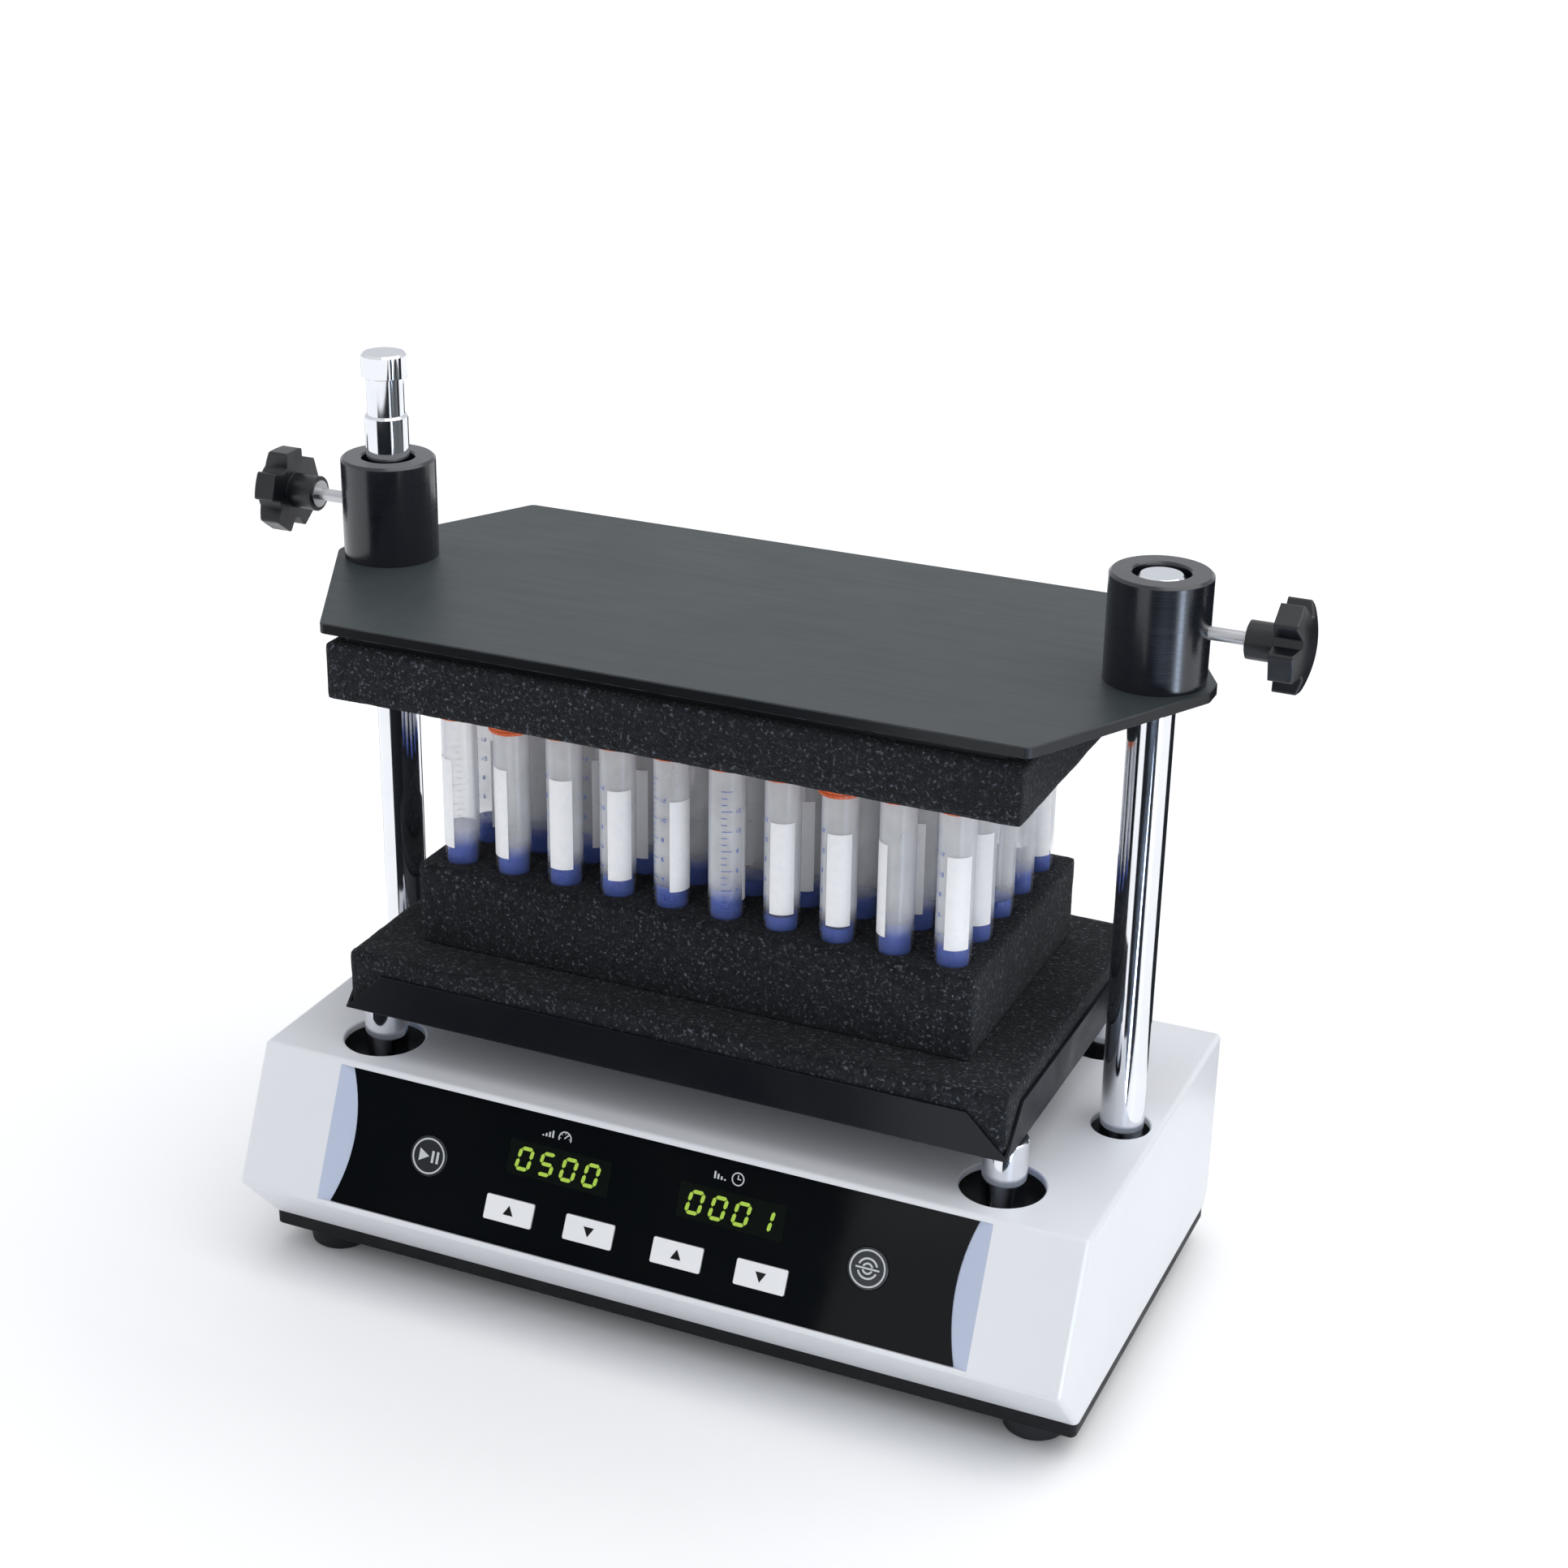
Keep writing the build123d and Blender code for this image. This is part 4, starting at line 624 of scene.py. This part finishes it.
INSET = 0.00035
lo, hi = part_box("upper_foam")
foam_piece("upper_foam_pad", (lo.x + INSET, lo.y + INSET, lo.z + 0.0007), (hi.x - INSET, hi.y - INSET, hi.z), 0.003, 0.0016, 0.00045, 1.0, "clamp",
           "upper_foam", bulge=0.0003, crown=0.0003, pinned_top=True)
lo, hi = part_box("tray_foam")
foam_piece("tray_foam_pad", (lo.x + INSET, lo.y + INSET, lo.z), (hi.x - INSET, hi.y - INSET, hi.z - 0.0004), 0.0034, 0.0022, 0.00045, 5.0, "carriage",
           "tray_foam", bulge=0.0, crown=0.0002, pinned_bottom=True)

# tube positions come from the CAD tubes' own box
tlo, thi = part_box("sample_tubes")
klo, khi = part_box("tube_caps")
rlo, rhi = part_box("tube_rack")
TR = 0.0085
NX, NY = 10, 5
PX = (thi.x - tlo.x - 2 * TR) / (NX - 1)
PY = (thi.y - tlo.y - 2 * TR) / (NY - 1)
TUBES = [(tlo.x + TR + i * PX, tlo.y + TR + j * PY, i, j) for j in range(NY) for i in range(NX)]
CAP_R = (khi.x - klo.x - (NX - 1) * PX) / 2


def rack_block():
    """The foam rack: a block with fifty bored holes, built cell by cell so that the holes are round and open."""
    hole_r = TR + 0.00025
    floor_z = tlo.z - 0.0002
    per = 8
    xs = [rlo.x + INSET] + [tlo.x + TR + (i + 0.5) * PX for i in range(NX - 1)] + [rhi.x - INSET]
    ys = [rlo.y + INSET] + [tlo.y + TR + (j + 0.5) * PY for j in range(NY - 1)] + [rhi.y - INSET]
    top = rhi.z - 0.0003
    m = Mesh()
    for cx, cy, i, j in TUBES:
        x0, x1, y0, y1 = xs[i], xs[i + 1], ys[j], ys[j + 1]
        rim = []
        for k in range(per):
            rim.append((x0 + (x1 - x0) * k / per, y0))
        for k in range(per):
            rim.append((x1, y0 + (y1 - y0) * k / per))
        for k in range(per):
            rim.append((x1 - (x1 - x0) * k / per, y1))
        for k in range(per):
            rim.append((x0, y1 - (y1 - y0) * k / per))
        n = len(rim)
        rings = [[(x, y, top) for x, y in rim]]
        for t in (0.35, 0.72):
            ring = []
            for x, y in rim:
                a = math.atan2(y - cy, x - cx)
                ex, ey = cx + (hole_r + 0.0009) * math.cos(a), cy + (hole_r + 0.0009) * math.sin(a)
                ring.append((x + (ex - x) * t, y + (ey - y) * t, top))
            rings.append(ring)
        for r, z in ((hole_r + 0.0009, top), (hole_r + 0.0003, top - 0.0003), (hole_r, top - 0.0009), (hole_r, top - 0.006), (hole_r, floor_z)):
            rings.append([(cx + r * math.cos(math.atan2(y - cy, x - cx)), cy + r * math.sin(math.atan2(y - cy, x - cx)), z) for x, y in rim])
        verts = [p for ring in rings for p in ring]
        faces = []
        for a in range(len(rings) - 1):
            for k in range(n):
                p, q = a * n + k, a * n + (k + 1) % n
                faces.append((p, q, q + n, p + n))
        faces.append(tuple((len(rings) - 1) * n + k for k in range(n)))
        m.add(verts, faces)
    # sides
    px = [x for i in range(NX) for x in [xs[i] + (xs[i + 1] - xs[i]) * k / per for k in range(per)]] + [xs[-1]]
    py = [y for j in range(NY) for y in [ys[j] + (ys[j + 1] - ys[j]) * k / per for k in range(per)]] + [ys[-1]]
    zs = [rlo.z + (top - rlo.z) * k / 14 for k in range(15)]
    ring = [(x, ys[0]) for x in px[:-1]] + [(xs[-1], y) for y in py[:-1]] + [(x, ys[-1]) for x in reversed(px[1:])] + [(xs[0], y) for y in reversed(py[1:])]
    n = len(ring)
    verts = [(x, y, z) for z in zs for x, y in ring]
    faces = [(a * n + k, a * n + (k + 1) % n, (a + 1) * n + (k + 1) % n, (a + 1) * n + k) for a in range(14) for k in range(n)]
    faces.append(tuple(reversed(range(n))))
    m.add(verts, faces)
    ob = m.build("tube_rack_foam")
    bm = bmesh.new()
    bm.from_mesh(ob.data)
    bmesh.ops.remove_doubles(bm, verts=bm.verts, dist=1e-5)
    bmesh.ops.recalc_face_normals(bm, faces=bm.faces)
    bm.to_mesh(ob.data)
    bm.free()
    blo, bhi = (xs[0], ys[0], rlo.z), (xs[-1], ys[-1], top)
    co = [tuple(v.co) for v in ob.data.vertices]
    inner = {k for k, c in enumerate(co) if any((c[0] - t[0]) ** 2 + (c[1] - t[1]) ** 2 < (hole_r + 0.0011) ** 2 for t in TUBES)}
    new = soften(co, blo, bhi, 0.0018, 0.00040, 9.0, bulge=0.0004, crown=0.0, pinned_bottom=True)
    for k, v in enumerate(ob.data.vertices):
        if k not in inner:
            v.co = new[k]
    ob.data.shade_smooth()
    wear(ob, "foam_charcoal", "foam_charcoal", "carriage")
    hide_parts("tube_rack")


rack_block()

# ------------------------------------------------------------------ tubes, caps, liquid and printing
CAM_AZ = math.atan2(-1.078844 - 0.0, 0.493129)   # bearing from the rack to where a viewer stands


def seven(m, put, ch, w, h, t):
    """One seven-segment figure drawn through put(verts, faces) in flat x, y."""
    segs = {"0": "abcdef", "1": "bc", "2": "abged", "3": "abgcd", "4": "fgbc", "5": "afgcd", "6": "afgedc", "7": "abc", "8": "abcdefg", "9": "abcdfg"}[ch]
    g = t * 0.14
    hw, hh = w / 2, h / 2
    hbar = lambda y: [(-hw + t / 2 + g, y), (-hw + t + g, y + t / 2), (hw - t - g, y + t / 2), (hw - t / 2 - g, y), (hw - t - g, y - t / 2), (-hw + t + g, y - t / 2)]
    vbar = lambda x, y0, y1: [(x, y0 + g), (x + t / 2, y0 + t / 2 + g), (x + t / 2, y1 - t / 2 - g), (x, y1 - g), (x - t / 2, y1 - t / 2 - g), (x - t / 2, y0 + t / 2 + g)]
    top, bot = hh - t / 2, -hh + t / 2
    shapes = {"a": hbar(top), "g": hbar(0), "d": hbar(bot), "f": vbar(-hw + t / 2, 0, top), "b": vbar(hw - t / 2, 0, top),
              "e": vbar(-hw + t / 2, bot, 0), "c": vbar(hw - t / 2, bot, 0)}
    for s in segs:
        put(m, shapes[s])


tube_mesh, cap_mesh, liquid_mesh, label_mesh, ink_mesh = Mesh(), Mesh(), Mesh(), Mesh(), Mesh()
cap_bottom = klo.z
tube_top = thi.z
ridge = lambda r, z, a: r - (0.00035 if (r > CAP_R - 0.0004 and math.cos(30 * a) < -0.1) else 0.0)
# how far the write-on patch is turned from the viewer, in degrees, and the liquid's height above the foam, front row first
FRONT_TURN = [-62, -52, -12, 8, 34, 98, -2, -3, -76, 6]
FRONT_FILL = [17, 13, 9, 8, 9, 13, 5.5, 5.5, 14, 9.5]
for cx, cy, i, j in TUBES:
    r, wall, z0 = TR, 0.0010, tlo.z
    # wall: cone, straight barrel, rim and bore
    prof = [(0.0022, z0), (0.0034, z0 + 0.0035), (r - 0.0006, z0 + 0.0205), (r, z0 + 0.0230), (r, z0 + 0.045), (r, z0 + 0.070), (r, z0 + 0.094),
            (r, cap_bottom - 0.0002), (r, tube_top), (r - wall, tube_top), (r - wall, z0 + 0.0235), (0.0016, z0 + 0.0022)]
    tube_mesh.lathe((cx, cy), prof, 40, closed_bottom=True, closed_top=True)
    # cap: skirt, ribbed wall, rounded shoulder, slightly dished top
    top = khi.z
    cb = cap_bottom - (0.0026 if j == 0 and i in (1, 7) else 0.0)
    cp = [(r + 0.0002, cb + 0.0004), (r + 0.0006, cb), (CAP_R - 0.0003, cb), (CAP_R, cb + 0.0005), (CAP_R, cb + 0.0016),
          (CAP_R - 0.0003, cb + 0.0020), (CAP_R - 0.0001, cb + 0.0026), (CAP_R - 0.0001, top - 0.0026), (CAP_R - 0.0005, top - 0.0012),
          (CAP_R - 0.0016, top - 0.0002), (CAP_R - 0.0030, top), (CAP_R - 0.0042, top - 0.0002), (0.0030, top - 0.0004)]
    cap_mesh.lathe((cx, cy), cp, 60, closed_top=True, radius=ridge)
    turn = math.radians(FRONT_TURN[i] if j == 0 else RNG.choice((-150, -95, -60, -20, 10, 40, 85, 130, 175)) + RNG.uniform(-9, 9))
    level = rhi.z + 0.001 * (FRONT_FILL[i] if j == 0 else RNG.uniform(5, 16))
    rl = r - wall - 0.0001
    liquid_mesh.lathe((cx, cy), [(0.0014, z0 + 0.0030), (rl - 0.0006, z0 + 0.0232), (rl, z0 + 0.0250), (rl, level - 0.0006), (rl - 0.0001, level), (rl - 0.0012, level - 0.0005),
                                 (0.002, level - 0.0006)], 28, closed_bottom=True, closed_top=True)
    face = CAM_AZ + turn
    label_mesh.strip((cx, cy), r + 0.00003, face - math.radians(40), face + math.radians(40), rhi.z + 0.0075, rhi.z + 0.0530, 0.00009, 12)
    # graduations and figures, a quarter turn round from the patch
    g0 = face - math.radians(98)
    for n in range(19):
        z = rhi.z + 0.004 + n * 0.0033
        half = math.radians(17 if n % 3 == 0 else 9)
        ink_mesh.strip((cx, cy), r + 0.00003, g0 - math.radians(17), g0 - math.radians(17) + 2 * half, z - 0.00016, z + 0.00016, 0.00008, 4 if n % 3 == 0 else 2)
        if n % 3 == 0 and n < 18:
            num = str(2 + n // 3 * 2)

            for d, ch in enumerate(num):
                a_mid = g0 + math.radians(28 + 14 * (d + (0 if len(num) > 1 else 0.5)))

                def put(m, shape, a_mid=a_mid, z=z):
                    pts = [(u, v) for u, v in shape]
                    vs = []
                    for rr in (r + 0.00003, r + 0.00011):
                        for u, v in pts:
                            a = a_mid + u / r
                            vs.append((cx + rr * math.cos(a), cy + rr * math.sin(a), z + v))
                    k = len(pts)
                    fs = [tuple(range(k, 2 * k)), tuple(reversed(range(k)))] + [(q, (q + 1) % k, k + (q + 1) % k, k + q) for q in range(k)]
                    m.add(vs, fs)
                seven(ink_mesh, put, ch, 0.0013, 0.0021, 0.00034)

tubes = tube_mesh.build("tube_barrels")
flat_angle(tubes, 40)
wear(tubes, "tube_clear", "tube_clear", "carriage")
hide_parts("sample_tubes")
caps = cap_mesh.build("ribbed_caps")
flat_angle(caps, 32)
wear(caps, "cap_orange", "cap_orange", "carriage")
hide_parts("tube_caps")
liq = liquid_mesh.build("tube_liquid")
flat_angle(liq, 50)
wear(liq, "liquid_blue", None, "carriage")
lab = label_mesh.build("write_on_patches")
flat_angle(lab, 30)
wear(lab, "label_white", None, "carriage")
ink = ink_mesh.build("tube_graduations")
flat_angle(ink, 30)
wear(ink, "ink_blue", None, "carriage")

# ------------------------------------------------------------------ control panel graphics
MM = 0.001
FACE_TOP = Vector((0.0, -93.43, 116.0))
UPV = Vector((0.0, 29.4, 65.0)) / math.hypot(29.4, 65.0)
NRM = Vector((0.0, -65.0, 29.4)) / math.hypot(29.4, 65.0)
XV = Vector((1.0, 0.0, 0.0))
S_MID, REC_D, REC_R = 35.8, 4.4, 321.0


def trough(x, s, lift):
    """A point lift mm above the panel's curved floor, in metres."""
    y = S_MID - s
    depth = REC_D - (REC_R - math.sqrt(REC_R ** 2 - y ** 2))
    n = (NRM - UPV * (y / REC_R)).normalized()
    return (FACE_TOP - UPV * s + XV * x - NRM * depth + n * lift) * MM


def tangent(x, s, lift):
    """A point map for flat tops: u to the right, v up the face, w out of it."""
    y = S_MID - s
    n = (NRM - UPV * (y / REC_R)).normalized()
    up = n.cross(XV).normalized()
    if up.dot(UPV) < 0:
        up = -up
    o = trough(x, s, 0.0) / MM + n * lift
    return lambda u, v, w: (o + XV * u + up * v + n * w) * MM


def plate(m, shapes, place, t=0.05):
    """Thin solids from flat outlines."""
    for shape in shapes:
        k = len(shape)
        vs = [place(u, v, 0.0) for u, v in shape] + [place(u, v, t) for u, v in shape]
        fs = [(q, (q + 1) % k, k + (q + 1) % k, k + q) for q in range(k)]
        tris = tessellate_polygon([[Vector((u, v, 0)) for u, v in shape]])
        area = sum(shape[q][0] * shape[(q + 1) % k][1] - shape[(q + 1) % k][0] * shape[q][1] for q in range(k))
        if area < 0:
            fs = [tuple(reversed(f)) for f in fs]
        for tri in tris:
            a, b, c = tri
            (ax, ay), (bx, by), (cx, cy) = shape[a], shape[b], shape[c]
            if (bx - ax) * (cy - ay) - (cx - ax) * (by - ay) < 0:
                a, b, c = a, c, b
            fs.append((a + k, b + k, c + k))
            fs.append((a, c, b))
        m.add(vs, fs)


def arc_band(cx, cy, r0, r1, a0, a1, steps):
    """Quads that make up a ring sector."""
    out = []
    for i in range(steps):
        p, q = math.radians(a0 + (a1 - a0) * i / steps), math.radians(a0 + (a1 - a0) * (i + 1) / steps)
        out.append([(cx + r0 * math.cos(p), cy + r0 * math.sin(p)), (cx + r1 * math.cos(p), cy + r1 * math.sin(p)),
                    (cx + r1 * math.cos(q), cy + r1 * math.sin(q)), (cx + r0 * math.cos(q), cy + r0 * math.sin(q))])
    return out


def bar(x0, y0, x1, y1, w):
    d = Vector((x1 - x0, y1 - y0))
    n = Vector((-d.y, d.x)).normalized() * w / 2
    return [(x0 - n.x, y0 - n.y), (x1 - n.x, y1 - n.y), (x1 + n.x, y1 + n.y), (x0 + n.x, y0 + n.y)]


digits = Mesh()
for text, x0, s0 in (("0500", -63.8, 26.1), ("0001", 25.8, 26.3)):
    for n, ch in enumerate(text):
        dx = x0 + n * 11.8

        def put(m, shape, dx=dx, s0=s0):
            plate(m, [[(u, v) for u, v in shape]], lambda u, v, w: trough(dx + u + 0.17 * v, s0 - v, 1.22 + w), t=0.05)
        seven(digits, put, ch, 8.0, 11.8, 1.8)
ob = digits.build("readout_digits", smooth=False)
wear(ob, "digit_green", "display_green", "housing")

marks = Mesh()
# a dial above the speed readout and a clock above the time readout
for kind, x, s in (("dial", -44.6, 10.8), ("clock", 45.0, 10.8)):
    place = (lambda x, s: (lambda u, v, w: trough(x + u, s - v, 1.22 + w)))(x, s)
    if kind == "dial":
        plate(marks, arc_band(0, -1.2, 2.9, 3.5, -20, 200, 22), place)
        plate(marks, [bar(-0.3, -1.2, 1.7, 0.9, 0.55)], place)
        for a in (0, 45, 90, 135, 180):
            c, q = math.cos(math.radians(a)), math.sin(math.radians(a))
            plate(marks, [bar(2.1 * c, -1.2 + 2.1 * q, 2.7 * c, -1.2 + 2.7 * q, 0.35)], place)
        for k in range(4):
            plate(marks, [bar(-11.5 + 1.7 * k, -2.1 , -11.5 + 1.7 * k, -1.4 + 0.9 * k, 0.9)], place)
    else:
        plate(marks, arc_band(0, 0, 2.6, 3.2, 0, 360, 32), place)
        plate(marks, [bar(0, -0.2, 0, 1.9, 0.5), bar(-0.2, 0, 1.5, 0, 0.5)], place)
        for k in range(4):
            plate(marks, [bar(-11.5 + 1.7 * k, -2.1 + 0.0, -11.5 + 1.7 * k, 1.3 - 0.9 * k, 0.9)], place)
ob = marks.build("readout_icons", smooth=False)
wear(ob, "ink_pale", None, "housing")

KEYS = {"speed_up_key": (-66.7, 52.0, 1, "speed_up"), "speed_down_key": (-24.2, 52.0, -1, "speed_down"),
        "time_up_key": (21.7, 52.0, 1, "time_up"), "time_down_key": (64.3, 52.0, -1, "time_down")}
for node, (x, s, way, body) in KEYS.items():
    m = Mesh()
    place = tangent(x, s, 2.115)
    plate(m, [[(-2.7, -2.1 * way), (2.7, -2.1 * way), (0.0, 2.6 * way)]], place)
    ob = m.build(node.replace("_key", "_arrow"), smooth=False)
    wear(ob, "ink_black", None, body)

for node, x, s, body in (("start", -114.0, 36.0, "start"), ("mode", 114.0, 36.0, "mode")):
    m = Mesh()
    place = tangent(x, s, 1.915)
    plate(m, arc_band(0, 0, 7.9, 8.7, 0, 360, 64), place)
    if node == "start":
        plate(m, [[(-5.0, -3.1), (0.4, 0.0), (-5.0, 3.1)], bar(2.3, -2.9, 2.3, 2.9, 1.3), bar(4.9, -2.9, 4.9, 2.9, 1.3)], place)
    else:
        for r in (2.3, 4.6):
            plate(m, arc_band(0, 0, r - 0.45, r + 0.45, 20, 160, 18) + arc_band(0, 0, r - 0.45, r + 0.45, 200, 340, 18), place)
        plate(m, [bar(-5.8, 0, 5.8, 0, 0.8)], place)
    ob = m.build(node + "_key_icon", smooth=False)
    wear(ob, "ink_pale", None, body)

# on and off marks on the rocker
rk = NODES["power_rocker"]
rk0, rk1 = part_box("power_rocker")
to_rk = rk.matrix_world.inverted()


def on_rocker(u, v, w, zc):
    o = Vector(((rk0.x + rk1.x) / 2 + u * MM, rk1.y + 0.01, zc + v * MM))
    hit, p, n, _ = rk.ray_cast(to_rk @ o, to_rk.to_3x3() @ Vector((0.0, -1.0, 0.0)))
    return rk.matrix_world @ (p + n * (0.00003 + w * MM)) if hit else o


m = Mesh()
mid, span = (rk0.z + rk1.z) / 2, rk1.z - rk0.z
plate(m, [bar(0, -2.0, 0, 2.0, 0.8)], lambda u, v, w: on_rocker(-u, v, w, mid + 0.26 * span))
plate(m, arc_band(0, 0, 1.5, 2.2, 0, 360, 24), lambda u, v, w: on_rocker(-u, v, w, mid - 0.26 * span))
ob = m.build("rocker_marks", smooth=False)
wear(ob, "ink_pale", None, "rocker")

# ------------------------------------------------------------------ floor, light, world
fl = Mesh()
n = 24
ext = 40.0
fl.add([(-ext + 2 * ext * i / n, -ext + 2 * ext * j / n, 0.0) for j in range(n + 1) for i in range(n + 1)],
       [(j * (n + 1) + i, j * (n + 1) + i + 1, (j + 1) * (n + 1) + i + 1, (j + 1) * (n + 1) + i) for j in range(n) for i in range(n)])
floor = fl.build("studio_floor")
fm = Mat("studio_floor_paint")
fm.set(base=fm.mix(fm.remap(fm.noise(1.3, 3), 0.3, 0.7, 0.0, 1.0), (0.945, 0.948, 0.955), (0.955, 0.958, 0.962)), rough=fm.remap(fm.noise(9, 3), 0.3, 0.7, 0.55, 0.7), spec=0.3)
floor.data.materials.append(fm.m)
floor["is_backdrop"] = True


def softbox(name, loc, target, sx, sy, watts, colour):
    d = bpy.data.lights.new(name, "AREA")
    d.shape = "RECTANGLE"
    d.size, d.size_y = sx, sy
    d.energy = watts
    d.color = colour
    o = bpy.data.objects.new(name, d)
    COL.objects.link(o)
    o.location = loc
    o.rotation_mode = "QUATERNION"
    o.rotation_quaternion = (Vector(target) - Vector(loc)).to_track_quat("-Z", "Y")
    return o


def glossy_only(o):
    o.visible_camera = o.visible_diffuse = o.visible_shadow = o.visible_transmission = o.visible_volume_scatter = False
    return o


# broad top light, a little to the right
sun = bpy.data.lights.new("top_light", "SUN")
sun.energy = 1.3
sun.angle = math.radians(60)
sun.color = (1.0, 0.995, 0.99)
so = bpy.data.objects.new("top_light", sun)
COL.objects.link(so)
so.location = (1.0, 0.5, 2.5)
so.rotation_mode = "QUATERNION"
so.rotation_quaternion = Vector((0.377, 0.14, 0.907)).to_track_quat("Z", "Y")
# two low strips that draw the upright highlight on the collars
for name, x in (("strip_right", 0.69), ("strip_left", 0.304)):
    strip = softbox(name, (x, -0.22, 0.13), (x - 0.498, 0.012, 0.365), 0.10, 0.24, 0.75, (0.62, 0.76, 1.0))
    glossy_only(strip)

# dark cards, seen only in reflections, that put painted dark reflections on the chrome and the gloss black
dark = Mat("card_black")
dark.set(base=dark.mix(dark.noise(6, 3), (0.012, 0.014, 0.018), (0.020, 0.023, 0.028)), rough=dark.remap(dark.noise(20, 3), 0.3, 0.7, 0.85, 0.95), spec=0.1)
for name, (x0, y0), (x1, y1) in (("card_a", (-0.27, -0.19), (0.071, -0.19)), ("card_b", (0.177, -0.19), (0.46, -0.19)), ("card_c", (0.16, 0.26), (0.50, 0.24)),
                              ("card_d", (-0.46, 0.26), (-0.17, 0.26))):
    m = Mesh()
    m.add([(x0, y0, 0.0), (x1, y1, 0.0), (x1, y1, 0.36), (x0, y0, 0.36)], [(0, 1, 2, 3)])
    ob = m.build(name, smooth=False)
    ob.data.materials.append(dark.m)
    glossy_only(ob)
    ob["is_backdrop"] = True

world = bpy.data.worlds.new("studio")
SCENE.world = world
world.use_nodes = True
wt = world.node_tree
bg = wt.nodes["Background"]
tc = wt.nodes.new("ShaderNodeTexCoord")
sep = wt.nodes.new("ShaderNodeSeparateXYZ")
wt.links.new(tc.outputs["Generated"], sep.inputs[0])
ramp = wt.nodes.new("ShaderNodeValToRGB")
ramp.color_ramp.elements[0].position = 0.07
ramp.color_ramp.elements[0].color = (0.98, 0.983, 0.99, 1)
low = ramp.color_ramp.elements.new(0.17)
low.color = (0.66, 0.68, 0.715, 1)
ramp.color_ramp.elements[2].position = 0.8
ramp.color_ramp.elements[2].color = (0.82, 0.83, 0.85, 1)
wt.links.new(sep.outputs["Z"], ramp.inputs[0])
wt.links.new(ramp.outputs[0], bg.inputs[0])
bg.inputs[1].default_value = 1.0

# ------------------------------------------------------------------ end
lo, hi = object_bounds()
